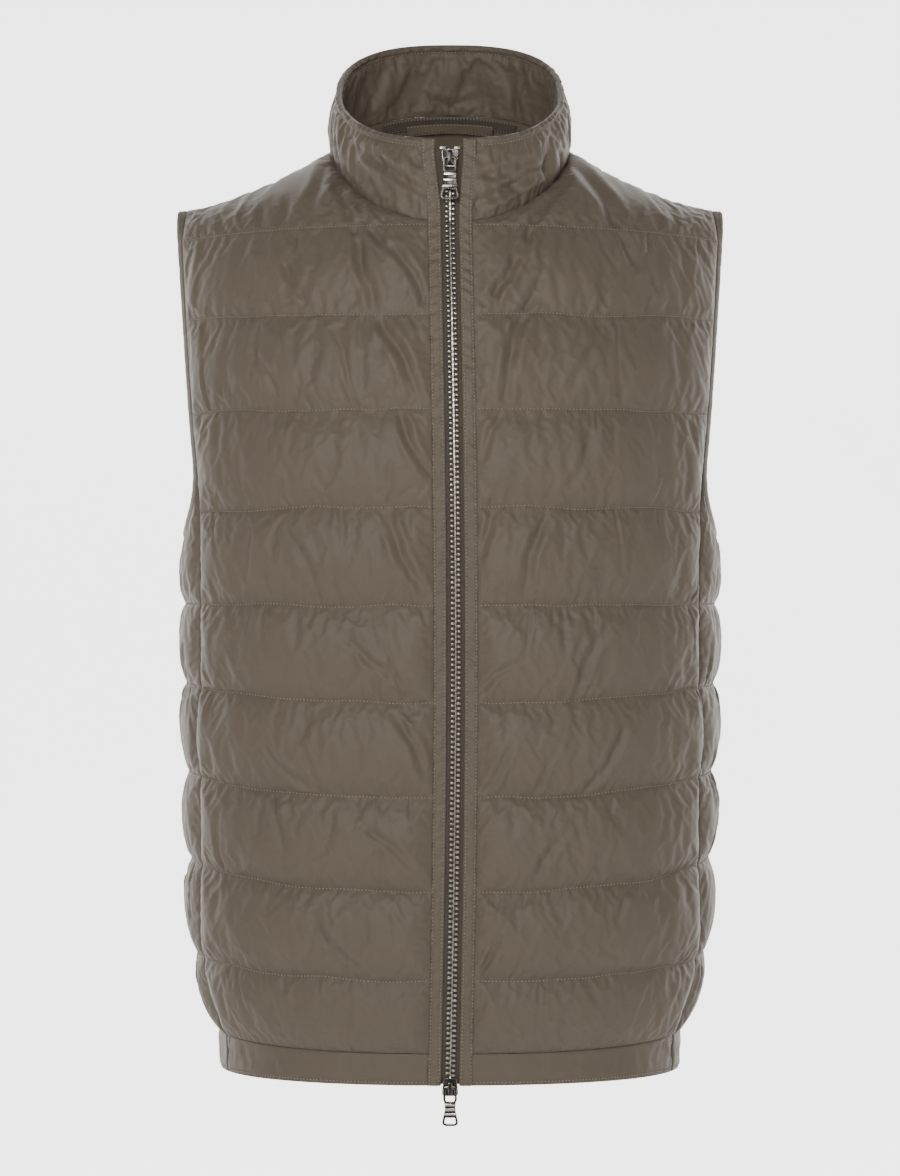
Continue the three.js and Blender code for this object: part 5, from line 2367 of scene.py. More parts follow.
    def build(self) -> bpy.types.Object:
        """Builds the collar.

        Returns:
            The collar's object.
        """
        turns = self.turns()
        level = np.array(self.levels)[:, None]
        angle, up = np.meshgrid(turns, level)
        base = self.middle(angle, up)
        length = along_path(base[self.measured_row])
        to_end = np.minimum(length, length[-1] - length)[None, :]
        left = np.clip(self.corner - to_end, 0, self.corner)
        drop = (self.corner - np.sqrt(np.maximum(self.corner**2 - left**2, 0))) * 0.9
        tall = np.linalg.norm(base[-1] - base[0], axis=1)[None, :]
        up = up * (1 - drop / tall)
        base = self.middle(angle, up)
        for column, sign in ((0, 1), (-1, -1)):
            base[:, column, 0] = sign * self.end_x
        out = self.out(angle, up)
        thick = self.swell * np.clip(1 - np.abs(level / self.topstitch * 2 - 1) ** 4, 0, 1)
        rolled = self.rim_roll * np.sin(np.pi * (level - self.topstitch) / (1 - self.topstitch))
        thick = np.where(level > self.topstitch, rolled, thick)
        near_end = 0.12 + 0.88 * smooth_step(4, 20, to_end)
        outer = base + out * (self.wall_half + thick * near_end)[..., None]
        inner = base - out * (self.wall_half + thick * near_end * 0.85)[..., None]
        a = np.broadcast_to(length, angle.shape)
        b = up * tall
        clearance = np.minimum(np.minimum(b, np.abs(up - self.topstitch) * tall), to_end)
        patch = wall(outer, inner, (a, b), np.maximum(clearance, 0))
        patch.points = self.settle(patch, base, angle.shape, out)
        grid = halved(halved(patch.points.reshape(2, *angle.shape, 3), 1), 2)
        finer = (halved(halved(rows, 0), 1) for rows in (base, out, a, b, clearance))
        base, out, a, b, clearance = finer
        share = halved(level, 0)
        sink = self.crease_depth(base) * np.clip(1 - (share / self.topstitch) ** 8, 0.1, 1)
        grid[0] -= out * sink[..., None]
        grid[1] += out * (0.6 * np.where(base[..., 1] > 0, sink, 0))[..., None]
        patch = wall(grid[0], grid[1], (a, b), np.maximum(clearance, 0))
        row = 2 * self.sewn_row
        self.seams = [(grid[k, row, 1:-1], way * out[row, 1:-1]) for k, way in ((0, 1), (1, -1))]
        piece = fastened(solid_object("padded_collar", patch, self.cloth), "quilted_nylon", "collar")
        return piece

    def crease_depth(self, base: Array) -> Array:
        """How far the collar sinks at each place of its grid."""
        x, y, z = base[..., 0], base[..., 1], base[..., 2]
        ahead = sum(crease.press(x, z) for crease in self.creases)
        behind = sum(crease.press(x, z) for crease in self.back_creases)
        return np.where(y < -30, ahead, 0) * smooth_step(-30, -42, y) + np.where(y > 10, behind, 0)

    def settle(self, patch: Patch, base: Array, shape: tuple[int, ...], out: Array) -> Array:
        """Fills the collar between its seam and its sewn edge.

        Args:
            patch: The closed collar.
            base: Points midway through it.
            shape: Rows and columns of each face.
            out: Outward directions.

        Returns:
            Where its corners settle.
        """
        held = np.zeros((2, *shape), dtype=bool)
        held[:, 0] = held[:, -1] = held[:, self.sewn_row] = True
        held[:, :, 0] = held[:, :, -1] = True
        square = np.array(patch.faces)
        triangles = square[:, [0, 1, 2, 0, 2, 3]].reshape(-1, 3)
        outward = np.concatenate([out.reshape(-1, 3), -out.reshape(-1, 3)])
        settled = filled(patch.points, triangles, held.ravel(), outward, self.fill)
        offset = settled - patch.points
        reach = np.linalg.norm(offset, axis=1, keepdims=True)
        return patch.points + offset * np.minimum(reach, self.give) / np.maximum(reach, 1e-6)


# Hard pieces


Test = Callable[[Vector, Vector], bool]


class Bench:
    """Shapes one hard piece from a block, picking its corners, edges and faces by place.

    Places are millimetres in the piece's own frame: X across, -Y outwards and +Z up.
    """

    def __init__(self, name: str, size: Sequence[float], middle: Sequence[float]) -> None:
        """Adds the block.

        Args:
            name: Name of the piece.
            size: Width, depth and height.
            middle: Its middle.
        """
        bpy.ops.object.select_all(action="DESELECT")
        bpy.ops.mesh.primitive_cube_add(size=1.0, location=(0.0, 0.0, 0.0))
        self.piece = bpy.context.object
        self.piece.name = name
        with self.editing():
            bpy.ops.mesh.select_all(action="SELECT")
            scale = [side * MM for side in size]
            bpy.ops.transform.resize(value=scale, center_override=(0.0, 0.0, 0.0))
            bpy.ops.transform.translate(value=[side * MM for side in middle])

    @contextmanager
    def editing(self) -> Iterator[None]:
        """Holds the piece open in edit mode."""
        bpy.ops.object.mode_set(mode="EDIT")
        yield
        bpy.ops.object.mode_set(mode="OBJECT")

    def pick(self, kind: str, test: Test) -> list[Vector]:
        """Selects what passes a test, in edit mode.

        Args:
            kind: VERT, EDGE or FACE.
            test: Takes a middle and a direction: a face's normal or the way an edge runs.

        Returns:
            The middles of what was selected, in millimetres.
        """
        bpy.ops.mesh.select_mode(type=kind)
        bpy.ops.mesh.select_all(action="DESELECT")
        mesh = bmesh.from_edit_mesh(self.piece.data)
        mesh.normal_update()
        found = []
        things = {"VERT": mesh.verts, "EDGE": mesh.edges, "FACE": mesh.faces}[kind]
        for thing in things:
            if kind == "VERT":
                middle, way = thing.co, thing.normal
            elif kind == "EDGE":
                start, end = (corner.co for corner in thing.verts)
                middle, way = (start + end) / 2, (end - start).normalized()
            else:
                middle, way = thing.calc_center_median(), thing.normal
            if test(middle / MM, way):
                thing.select_set(True)
                found.append(middle / MM)
        mesh.select_flush_mode()
        bmesh.update_edit_mesh(self.piece.data)
        return found

    def cut(self, *levels: float) -> None:
        """Cuts level lines round the piece."""
        with self.editing():
            for z in levels:
                bpy.ops.mesh.select_all(action="SELECT")
                bpy.ops.mesh.bisect(plane_co=(0.0, 0.0, z * MM), plane_no=(0.0, 0.0, 1.0))

    def row(self, z: float, half: float) -> None:
        """Sets the half width of the corners at a level."""
        with self.editing():
            found = self.pick("VERT", lambda at, _: abs(at.z - z) < 0.02)
            now = max(abs(at.x) for at in found)
            bpy.ops.transform.resize(value=(half / now, 1.0, 1.0), center_override=(0.0, 0.0, z * MM))

    def shift(self, test: Test, step: Sequence[float]) -> None:
        """Moves the corners that pass a test."""
        with self.editing():
            self.pick("VERT", test)
            bpy.ops.transform.translate(value=[side * MM for side in step])

    def round_off(self, test: Test, radius: float, steps: int) -> None:
        """Rounds the edges that pass a test."""
        with self.editing():
            self.pick("EDGE", test)
            bpy.ops.mesh.bevel(offset=radius * MM, segments=steps, affect="EDGES")

    def sink(self, test: Test, rim: float, depth: float) -> None:
        """Sinks or raises the middle of the faces that pass a test, inside a rim."""
        with self.editing():
            self.pick("FACE", test)
            bpy.ops.mesh.inset(thickness=rim * MM, depth=depth * MM)

    def draw_out(self, test: Test, step: Sequence[float], scale: Sequence[float]) -> None:
        """Extrudes the faces that pass a test, then resizes their ends.

        Args:
            test: Picks the faces.
            step: How far they are drawn out.
            scale: How their ends are resized.
        """
        with self.editing():
            found = self.pick("FACE", test)
            middle = sum(found, Vector()) / len(found) + Vector(step)
            move = {"value": [side * MM for side in step]}
            bpy.ops.mesh.extrude_region_move(TRANSFORM_OT_translate=move)
            bpy.ops.transform.resize(value=scale, center_override=[side * MM for side in middle])

    def window(self, test: Test, rim: float) -> None:
        """Cuts a window through the piece, leaving a rim round the faces that pass a test."""
        with self.editing():
            self.pick("FACE", test)
            bpy.ops.mesh.inset(thickness=rim * MM, depth=0.0)
            bpy.ops.mesh.delete(type="FACE")
            bpy.ops.mesh.select_mode(type="EDGE")
            bpy.ops.mesh.select_all(action="DESELECT")
            bpy.ops.mesh.select_non_manifold()
            bpy.ops.mesh.bridge_edge_loops()

    def paint(self, test: Test, slot: int) -> None:
        """Gives the faces that pass a test one of the piece's finishes."""
        with self.editing():
            self.pick("FACE", test)
            self.piece.active_material_index = slot
            bpy.ops.object.material_slot_assign()

    def dress(self, *finishes: bpy.types.Material) -> None:
        """Gives the piece its finishes."""
        for finish in finishes:
            self.piece.data.materials.append(finish)

    def soften(self, width: float, steps: int, slot: int = -1) -> None:
        """Rounds every sharp edge, giving the roundings one of the finishes."""
        modifier = self.piece.modifiers.new("soften", "BEVEL")
        modifier.width = width * MM
        modifier.segments = steps
        modifier.limit_method = "ANGLE"
        modifier.angle_limit = math.radians(28)
        modifier.material = slot
        bpy.ops.object.modifier_apply(modifier=modifier.name)

    def join(self, others: Sequence["Bench"]) -> None:
        """Joins other pieces to this one."""
        selected(self.piece, *(bench.piece for bench in others))
        bpy.ops.object.join()

    def settle(self, place: Matrix) -> bpy.types.Object:
        """Puts the piece in its place, in its mesh, and shades it.

        Args:
            place: Turn and place, in metres.

        Returns:
            The finished object.
        """
        self.piece.data.transform(place)
        selected(self.piece)
        bpy.ops.object.shade_smooth_by_angle(angle=math.radians(38))
        return self.piece


def faces_out(low: float, high: float) -> Test:
    """Picks front and back faces between two levels."""
    return lambda at, way: abs(way.y) > 0.9 and low < at.z < high


class Way(Enum):
    """Which end of a slider is the wide one."""

    UP = 1
    DOWN = -1


@dataclass(frozen=True)
class ZipPlace:
    """Where a slider sits on the zip, in millimetres and radians."""

    centre: tuple[float, float, float]
    tilt: float

    def matrix(self, stand: float, turned: bool) -> Matrix:
        """Turn and place for a piece.

        Args:
            stand: How far its own origin stands off the tape.
            turned: Whether it is turned upside down.

        Returns:
            The matrix, in metres.
        """
        over = Matrix.Rotation(math.pi if turned else 0.0, 4, "Y")
        lean = Matrix.Rotation(self.tilt, 4, "X")
        out = Matrix.Translation((0.0, -stand * MM, 0.0))
        return Matrix.Translation([side * MM for side in self.centre]) @ lean @ out @ over


@dataclass
class Slider:
    """Zip slider: face plate with flanges, back plate, wedge between them, and bridge.

    Attributes:
        dark: Finish of its faces.
        bright: Finish of its bevelled edges, a lighter metal as painted highlight.
        name: Name of the piece.
        node: The solid it stands for.
        place: Where it sits.
        way: Which end is the wide one.
        length: Its length.
        wide: Width of the face plate at its wide end.
        narrow: Width at its narrow end.
        face: How far the face plate stands off the tape.
        plate: Thickness of the face plate.
        back: Where the back plate's outer face starts.
        back_plate: Thickness of the back plate, and how much smaller it is all round.
        face_sink: Rim of the face plate's sunk middle, and its depth.
        shoulders: Radius of the corners at the wide and at the narrow end.
        flange_size: Width, depth and height of a flange.
        wedge: Width, depth and height of the wedge between the plates.
        bridge: Width, depth and height of the bridge.
        bridge_top: How far the bridge stands off the tape.
        bridge_wall: Thickness of the bridge's bar.
    """

    dark: bpy.types.Material
    bright: bpy.types.Material
    name: str
    node: str
    place: ZipPlace
    way: Way
    length: float = 12.0
    wide: float = 11.6
    narrow: float = 8.6
    face: float = 4.4
    plate: float = 1.3
    back: float = -0.2
    back_plate: tuple[float, float] = (1.1, 0.3)
    face_sink: tuple[float, float] = (1.0, -0.22)
    shoulders: tuple[float, float] = (2.3, 1.5)
    flange_size: tuple[float, float, float] = (0.9, 1.5, 8.4)
    wedge: tuple[float, float, float] = (2.4, 2.4, 4.6)
    bridge: tuple[float, float, float] = (2.8, 5.4, 10.4)
    bridge_top: float = 8.6
    bridge_wall: float = 1.2

    def plate_piece(self, name: str, outer: float, thick: float, shrink: float) -> Bench:
        """Makes a plate with rounded shoulders, narrower at one end.

        Args:
            name: Its name.
            outer: How far its outer face stands off the tape.
            thick: Its thickness.
            shrink: How much smaller it is all round.

        Returns:
            The plate.
        """
        high = self.length / 2 - shrink
        bench = Bench(name, (self.wide - 2 * shrink, thick, 2 * high), (0, thick / 2 - outer, 0))
        bench.cut(0.5)
        bench.row(0.5, self.wide / 2 - shrink - 0.5)
        bench.row(-high, self.narrow / 2 - shrink)
        wide_end, narrow_end = self.shoulders
        bench.round_off(lambda at, way: abs(way.y) > 0.9 and at.z > high - 0.1, wide_end, 5)
        bench.round_off(lambda at, way: abs(way.y) > 0.9 and at.z < 0.1 - high, narrow_end, 4)
        return bench

    def flange(self, side: int) -> Bench:
        """Makes the flange along one side of the face plate."""
        x = side * (self.wide / 2 - 1.1)
        y = self.flange_size[1] / 2 - self.face + self.plate
        bench = Bench("flange", self.flange_size, (x, y, -1.0))
        drop = side * (self.wide - self.narrow) / 2 * 0.62
        bench.shift(lambda at, _: at.z < -1.0, (-drop, 0, 0))
        return bench

    def build(self) -> bpy.types.Object:
        """Builds the slider.

        Returns:
            Its object.
        """
        front = self.plate_piece(self.name, self.face, self.plate, 0.0)
        front.sink(lambda at, way: way.y < -0.9, *self.face_sink)
        thick, smaller = self.back_plate
        behind = self.plate_piece("back_plate", self.back + thick, thick, smaller)
        wedge = Bench("wedge", self.wedge, (0, -2.0, 3.3))
        wedge.row(1.0, 0.3)
        arch = Bench("arch", self.bridge, (0, self.bridge[1] / 2 - self.bridge_top, 0))
        arch.round_off(lambda at, way: abs(way.x) > 0.9 and at.y < 0.1 - self.bridge_top, 2.6, 6)
        arch.window(lambda at, way: abs(way.x) > 0.9, self.bridge_wall)
        parts = [front, behind, wedge, arch, self.flange(1), self.flange(-1)]
        for bench in parts:
            bench.dress(self.dark, self.bright)
            selected(bench.piece)
            # the bevels take the second finish, a lighter metal as painted highlight
            bench.soften(0.22, 2, 1)
        front.join(parts[1:])
        made = front.settle(self.place.matrix(0.0, self.way is Way.DOWN))
        return fastened(made, "slider_metal", self.node)


@dataclass
class PullTab:
    """Pull tab: eye, raised bar, groove, bare plate, and an open window that widens to the end.

    Attributes:
        dark: Finish of its faces.
        bright: Finish of its edges and raised bar, a lighter metal as painted highlight.
        name: Name of the piece.
        node: The solid it stands for.
        body: The body that it turns with.
        place: Where its slider sits.
        bar: Width of the bar.
        end: Width at the window's lower end.
        length: Its length.
        eye: Width of the eye.
        thickness: Its thickness.
        rim: Width of the metal round the eye and the window.
        stand: How far its hinge axis stands off the tape.
        eye_wide: Height down to which the eye keeps its width.
        eye_low: Height of the eye's lower edge.
        marks: Shares of the way down from there to the end: the bar's, the groove's, the ridge's
            and the plate's lower edge, the window's top, and where the window is widest.
    """

    dark: bpy.types.Material
    bright: bpy.types.Material
    name: str
    node: str
    body: str
    place: ZipPlace
    bar: float
    end: float
    length: float
    eye: float = 9.5
    thickness: float = 1.6
    rim: float = 1.6
    stand: float = 5.9
    eye_wide: float = -8.2
    eye_low: float = -11.0
    marks: tuple[float, ...] = (0.09, 0.22, 0.29, 0.45, 0.52, 0.85)

    def build(self) -> bpy.types.Object:
        """Builds the pull tab.

        Returns:
            Its object.
        """
        top, low = self.rim / 2, self.rim / 2 - self.length
        levels = [mix(self.eye_low, low, share) for share in self.marks]
        bar_low, groove_low, ridge_low, plate_low, window_top, widest = levels
        bench = Bench(self.name, (2.0, self.thickness, self.length), (0, 0, (top + low) / 2))
        bench.cut(self.eye_wide, self.eye_low, *levels)
        narrow = self.bar / 2
        bench.row(top, self.eye / 2)
        bench.row(self.eye_wide, self.eye / 2)
        for z in (self.eye_low, bar_low, groove_low):
            bench.row(z, narrow)
        for z, share in ((ridge_low, 0.08), (plate_low, 0.3), (window_top, 0.45)):
            bench.row(z, mix(narrow, self.end / 2, share))
        bench.row(widest, self.end / 2)
        bench.row(low, self.end / 2 - 0.3)
        bench.round_off(lambda at, way: abs(way.y) > 0.9 and at.z > top - 0.1, 2.6, 4)
        bench.round_off(lambda at, way: abs(way.y) > 0.9 and at.z < low + 0.1, 2.8, 6)
        bench.dress(self.dark, self.bright)
        bench.window(faces_out(self.eye_low, top), self.rim)
        bench.window(faces_out(low, window_top), self.rim)
        # the bar and two bands take the lighter metal as painted highlight
        for bottom, upper in ((bar_low, self.eye_low), (ridge_low, groove_low), (window_top, plate_low)):
            bench.paint(faces_out(bottom, upper), 1)
        bench.sink(faces_out(bar_low, self.eye_low), 0.18, 0.3)
        bench.sink(faces_out(groove_low, bar_low), 0.12, -0.45)
        bench.sink(faces_out(plate_low, ridge_low), 0.3, -0.3)
        # the bevels take the lighter metal as painted highlight
        bench.soften(0.2, 2, 1)
        made = bench.settle(self.place.matrix(self.stand, False))
        return fastened(made, "slider_metal", self.node, body=self.body)


# Zip


@dataclass
class FrontLine:
    """Centre front line from the hem edge to the collar's rim, which the zip lies along."""

    collar: Collar

    def points(self, low: float, high: float, step: float) -> Array:
        """Points of the line.

        Args:
            low: Lowest height.
            high: Highest height.
            step: Distance between points.

        Returns:
            Rows of points.
        """
        heights = np.linspace(low, high, max(int((high - low) / step), 2) + 1)
        neck = self.collar.middle(np.zeros(1), np.zeros(1))[0]
        rim = self.collar.middle(np.zeros(1), np.ones(1))[0]
        body = BODY.depth_at(np.zeros_like(heights), np.minimum(heights, BODY.top_line), -1)
        share = np.clip((heights - neck[2]) / (rim[2] - neck[2]), 0, 1)
        y = np.where(heights > neck[2], mix(neck[1], rim[1], share), body)
        between = (heights > BODY.top_line) & (heights <= neck[2])
        y = np.where(between, mix(body, neck[1], smooth_step(BODY.top_line, neck[2], heights)), y)
        return np.stack([BODY.zip_bow(heights), y, heights], axis=1)

    @staticmethod
    def outward(path: Array) -> Array:
        """Outward directions along the line."""
        along = np.gradient(path, axis=0)
        return unit(np.stack([np.zeros(len(path)), -along[:, 2], along[:, 1]], axis=1))


@dataclass
class Zip:
    """Two-way zip: tapes, the strips over them, teeth, stops, sliders and pull tabs.

    Attributes:
        cloth: Finish of the strips.
        tape: Finish of the tapes.
        teeth: Finish of the teeth and top stops.
        metal: Finish of the sliders and pull tabs.
        rubbed: Finish of their edges, a lighter metal as painted highlight.
        line: The centre front line.
        strip_x: Where a strip starts and ends beside the middle.
        strip_high: Height of the strips' top.
        flare: How far each strip leans away at its top.
        flare_z: Between which heights it does so.
        tape_x: Where a tape starts and ends beside the middle.
        tape_high: Height of the tapes' top.
        pitch: Distance from one tooth to the next on one side.
        chain: Lowest and highest tooth.
        stop_z: Height of the top stops.
        top: Where the upper slider sits.
        bottom: Where the lower slider sits.
        pull_sizes: Width of the bar, width of the end and length of each slider's pull tab.
        seams: Points and outward directions of the strips' rows of stitches.
    """

    cloth: bpy.types.Material
    tape: bpy.types.Material
    teeth: bpy.types.Material
    metal: bpy.types.Material
    rubbed: bpy.types.Material
    line: FrontLine
    strip_x: tuple[float, float] = (6.2, 15.2)
    strip_high: float = 20.0
    flare: tuple[float, float] = (4.4, 2.8)
    flare_z: tuple[float, float] = (-34.0, 15.0)
    tape_x: tuple[float, float] = (0.25, 12.5)
    tape_high: float = 14.8
    pitch: float = 3.5
    chain: tuple[float, float] = (-624.0, -1.4)
    stop_z: float = 13.5
    top: ZipPlace = ZipPlace((0.0, -100.926, 6.0), -0.0923)
    bottom: ZipPlace = ZipPlace((0.067, -116.51, -631.5), 0.0015)
    pull_sizes: dict[Way, tuple[float, float, float]] = field(
        default_factory=lambda: {Way.UP: (8.5, 13.0, 30.5), Way.DOWN: (7.4, 11.0, 27.0)}
    )
    seams: Seams = field(default_factory=list)

    def strip(self, flank: Flank) -> None:
        """Builds the strip of cloth beside the teeth, gathered finely along its two seams.

        Args:
            flank: Which side.
        """
        path = self.line.points(BODY.hem_edge, self.strip_high, 1.3)
        out = FrontLine.outward(path)
        near, far = self.strip_x
        lean = self.flare[0 if flank is Flank.LEFT else 1] * smooth_step(*self.flare_z, path[:, 2])
        shares = np.array([0, 0.04, 0.1, 0.2, 0.35, 0.5, 0.65, 0.8, 0.9, 0.96, 1.0])
        x = mix(near, far, shares)
        a = np.broadcast_to(path[:, 2][:, None], (len(path), len(x)))
        b = np.broadcast_to(x[None, :], a.shape)
        round_off = thinned(shares, 0.25)[None, :]
        inner_seam, outer_seam = near + 1.4, far - 1.1
        seam = bell(b, inner_seam, 0.6) + bell(b, outer_seam, 0.6)
        gather = ripple(a + 0.5 * b, b * 0.3, 71 + flank.value, 6.0, 3)
        rolled = 0.35 * bell(b, near + 0.5, 0.5)
        lift = 0.75 + 0.95 * round_off + rolled + 1.1 * gather * (1 - 0.6 * seam) - 0.5 * seam
        place = path[:, None, :] + np.stack([flank.value * (b + lean[:, None]), 0 * b, 0 * b], axis=-1)
        outer = place + out[:, None, :] * lift[..., None]
        inner = place + out[:, None, :] * (0.75 - 0.95 * round_off)[..., None]
        for at in (inner_seam, outer_seam):
            k = int(np.argmin(np.abs(x - at)))
            run = outer[:, k].copy()
            run[:, 0] = path[:, 0] + flank.value * (at + lean)
            self.seams.append((run, out))
        clearance = np.minimum(np.abs(b - inner_seam), np.abs(b - outer_seam))
        patch = wall(outer, inner, (b, a), clearance, False, flank is Flank.LEFT)
        piece = solid_object(f"strip_{flank.word}", patch, self.cloth)
        fastened(piece, "plain_nylon", f"placket_{flank.word}")
        length = float(along_path(path)[-1])
        declare_strip(far - near, length)

    def tape_piece(self, flank: Flank) -> None:
        """Builds one woven tape with its corded edge beside the teeth.

        Args:
            flank: Which side.
        """
        path = self.line.points(BODY.hem_edge + 1, self.tape_high, 3.0)
        out = FrontLine.outward(path)
        near, far = self.tape_x
        x = np.array([near, near + 0.6, 1.6, 2.4, 3.4, 5.0, 7.0, 9.0, 11.0, far])
        cord = 0.35 * bell(x, 1.6, 0.8)
        a = np.broadcast_to(path[:, 2][:, None], (len(path), len(x)))
        b = np.broadcast_to(x[None, :], a.shape)
        uneven = 0.08 * ripple(a, b, 77 + flank.value, 25.0, 2)
        place = path[:, None, :] + np.stack([flank.value * b, 0 * b, 0 * b], axis=-1)
        outer = place + out[:, None, :] * (-0.55 + cord[None, :] + uneven)[..., None]
        inner = place + out[:, None, :] * np.full_like(a, -1.45)[..., None]
        patch = wall(outer, inner, (b, a), np.full_like(a, 9.0), False, flank is Flank.LEFT)
        piece = solid_object(f"tape_{flank.word}", patch, self.tape)
        fastened(piece, "zip_tape", f"zip_tape_{flank.word}")
        length = float(along_path(path)[-1])
        declare_strip(far - near, length)

    def tooth(self) -> Bench:
        """Models one tooth of the right side: a block on the tape's cord, a neck, and a head."""
        bench = Bench("tooth", (2.3, 2.1, 1.9), (2.25, -0.85, 0.0))
        bench.round_off(lambda at, way: at.y < -1.5 and abs(way.y) < 0.1, 0.55, 2)
        inward = lambda at, way: way.x < -0.9
        bench.draw_out(inward, (-0.5, 0.1, 0.0), (1.0, 0.62, 0.6))
        bench.draw_out(inward, (-0.3, 0.0, 0.0), (1.0, 1.0, 1.6))
        bench.draw_out(inward, (-0.75, 0.0, 0.0), (1.0, 0.9, 0.8))
        return bench

    def stop(self) -> Bench:
        """Models the right top stop, a small clamped block."""
        bench = Bench("stop", (4.4, 1.7, 2.2), (5.0, -0.45, 0.0))
        bench.sink(lambda at, way: way.y < -0.9, 0.35, 0.15)
        bench.soften(0.3, 2)
        return bench

    def copies(self, name: str, pattern: Bench, heights: dict[Flank, Array], *nodes: str) -> None:
        """Sets copies of a small piece along both sides of the zip.

        Args:
            name: Name of the joined piece.
            pattern: The right side's piece, which is used up.
            heights: Height of each copy, for each side.
            nodes: The solids that they stand for.
        """
        mesh = pattern.piece.data
        corners = np.array([corner.co for corner in mesh.vertices]) / MM
        faces = [list(face.vertices) for face in mesh.polygons]
        bpy.data.objects.remove(pattern.piece)
        path = self.line.points(BODY.hem_edge, self.strip_high, 2.0)
        out = FrontLine.outward(path)
        across = np.array([1.0, 0.0, 0.0])
        points, every = [], []
        for flank, levels in heights.items():
            turned = [face[::-1] for face in faces] if flank is Flank.LEFT else faces
            for z in levels:
                at, way = (read_along(z, path[:, 2], rows) for rows in (path, out))
                up = np.cross(across, -way)
                x, y, high = corners[:, :1] * flank.value, corners[:, 1:2], corners[:, 2:]
                shift = len(points) * len(corners)
                points.append(at + x * across - y * way + high * up)
                every += [[corner + shift for corner in face] for face in turned]
        flat = np.vstack(points)
        patch = Patch(flat, every, flat[:, :2], np.zeros(len(flat)))
        piece = solid_object(name, patch, self.teeth)
        selected(piece)
        bpy.ops.object.shade_smooth_by_angle(angle=math.radians(50))
        fastened(piece, "zip_teeth", *nodes)

    def hardware(self) -> None:
        """Builds the teeth, top stops, sliders and pull tabs."""
        right = np.arange(*self.chain, self.pitch)
        rows = {Flank.RIGHT: right, Flank.LEFT: right[:-1] + self.pitch / 2}
        self.copies("zip_teeth", self.tooth(), rows, "zip_chain")
        tops = np.array([self.stop_z])
        self.copies("top_stops", self.stop(), {Flank.RIGHT: tops, Flank.LEFT: tops})
        finishes = (self.metal, self.rubbed)
        ends = (("upper", "top", self.top, Way.UP), ("lower", "bottom", self.bottom, Way.DOWN))
        for word, end, place, way in ends:
            Slider(*finishes, f"{word}_slider", f"slider_{end}", place, way).build()
        for word, end, place, way in ends:
            names = (f"{word}_pull_tab", f"pull_{end}", f"{end}_pull")
            PullTab(*finishes, *names, place, *self.pull_sizes[way]).build()

    def build(self) -> None:
        """Builds the zip."""
        for flank in Flank:
            self.strip(flank)
            self.tape_piece(flank)
        self.hardware()


@dataclass(frozen=True)
class NeckStrip:
    """A strip inside the back neck.

    Attributes:
        name: Name of the piece.
        node: The solid it stands for.
        slot: Its material slot.
        half: Half its length.
        drop: How far its upper edge lies below the neck edge.
        width: Its width.
        low: How far inside the panel's middle it starts.
        thick: Its thickness.
        stand: How far its middle stands off.
    """

    name: str
    node: str
    slot: str
    half: float
    drop: float
    width: float
    low: float
    thick: float
    stand: float


@dataclass
class NeckFinish:
    """Tape over the back neck seam inside, and the flat hanger loop on it.

    Attributes:
        tape: Finish of the tape.
        cloth: Finish of the loop.
        back: The back panel that they lie on.
        tape_strip: Sizes of the tape.
        loop: Sizes of the loop.
        shares: Where a strip's rows of corners lie across it.
        sewn_rows: The rows that the stitches follow.
        seams: Points and outward directions of the rows of stitches.
    """

    tape: bpy.types.Material
    cloth: bpy.types.Material
    back: BackPanel
    tape_strip: NeckStrip = NeckStrip(
        "neck_tape", "back_neck_tape", "zip_tape", 50.5, 0.6, 8.5, 1.4, 0.9, 0.0
    )
    loop: NeckStrip = NeckStrip("loop", "hanger_loop", "plain_nylon", 34.5, 5.5, 9.0, 2.75, 1.2, 1.2)
    shares: tuple[float, ...] = (0, 0.06, 0.15, 0.3, 0.5, 0.7, 0.85, 0.94, 1.0)
    sewn_rows: tuple[int, int] = (1, 7)
    seams: Seams = field(default_factory=list)

    def laid(self, x: Array, down: Array, depth: Array) -> tuple[Array, Array]:
        """Points inside the back neck.

        Args:
            x: Distance from the middle.
            down: Distance below the neck edge, along the cloth.
            depth: How far inside the panel's middle.

        Returns:
            Points and inward directions.
        """
        angle = np.arcsin(np.clip(np.abs(x) / BODY.neck_half, 0, 1))
        share = np.degrees(angle) / 90.0 * BODY.neck_share
        shares, _, tall = self.back.flat_tables()
        v = 1 - down / np.interp(share, shares, tall)
        base, out = self.back.yoke_at(share.ravel(), v.ravel())
        side = np.where(x.ravel() < 0, -1.0, 1.0)
        base[:, 0] *= side
        out[:, 0] *= side
        base, out = base.reshape(*x.shape, 3), out.reshape(*x.shape, 3)
        return base - out * depth[..., None], -out

    def piece(self, sizes: NeckStrip, cloth: bpy.types.Material) -> None:
        """Builds one strip inside the back neck.

        Args:
            sizes: Its name, place and sizes.
            cloth: Its finish.
        """
        half, thick = sizes.half, sizes.thick
        shares = np.array(self.shares)
        across = np.linspace(-half, half, int(half))
        x, down = np.meshgrid(across, sizes.drop + sizes.width * shares)
        lift = sizes.stand * np.sin(np.pi * (x + half) / (2 * half))
        round_off = np.broadcast_to(thinned(shares, 0.3)[:, None], x.shape)
        uneven = 0.4 * ripple(x * 0.4, down, 83, 13.0, 3)
        middle = sizes.low + thick / 2 + lift
        near, inward = self.laid(x, down, middle - thick / 2 * round_off)
        far, _ = self.laid(x, down, middle + (thick / 2 + uneven) * round_off)
        patch = wall(near, far, (x, down), np.full_like(x, 9.0))
        made = fastened(solid_object(sizes.name, patch, cloth), sizes.slot, sizes.node)
        length = float(along_path(far[len(shares) // 2])[-1])
        declare_strip(sizes.width, length)
        self.seams += [(far[row], inward[row]) for row in self.sewn_rows]

    def build(self) -> None:
        """Builds the tape and the loop."""
        self.piece(self.tape_strip, self.tape)
        self.piece(self.loop, self.cloth)


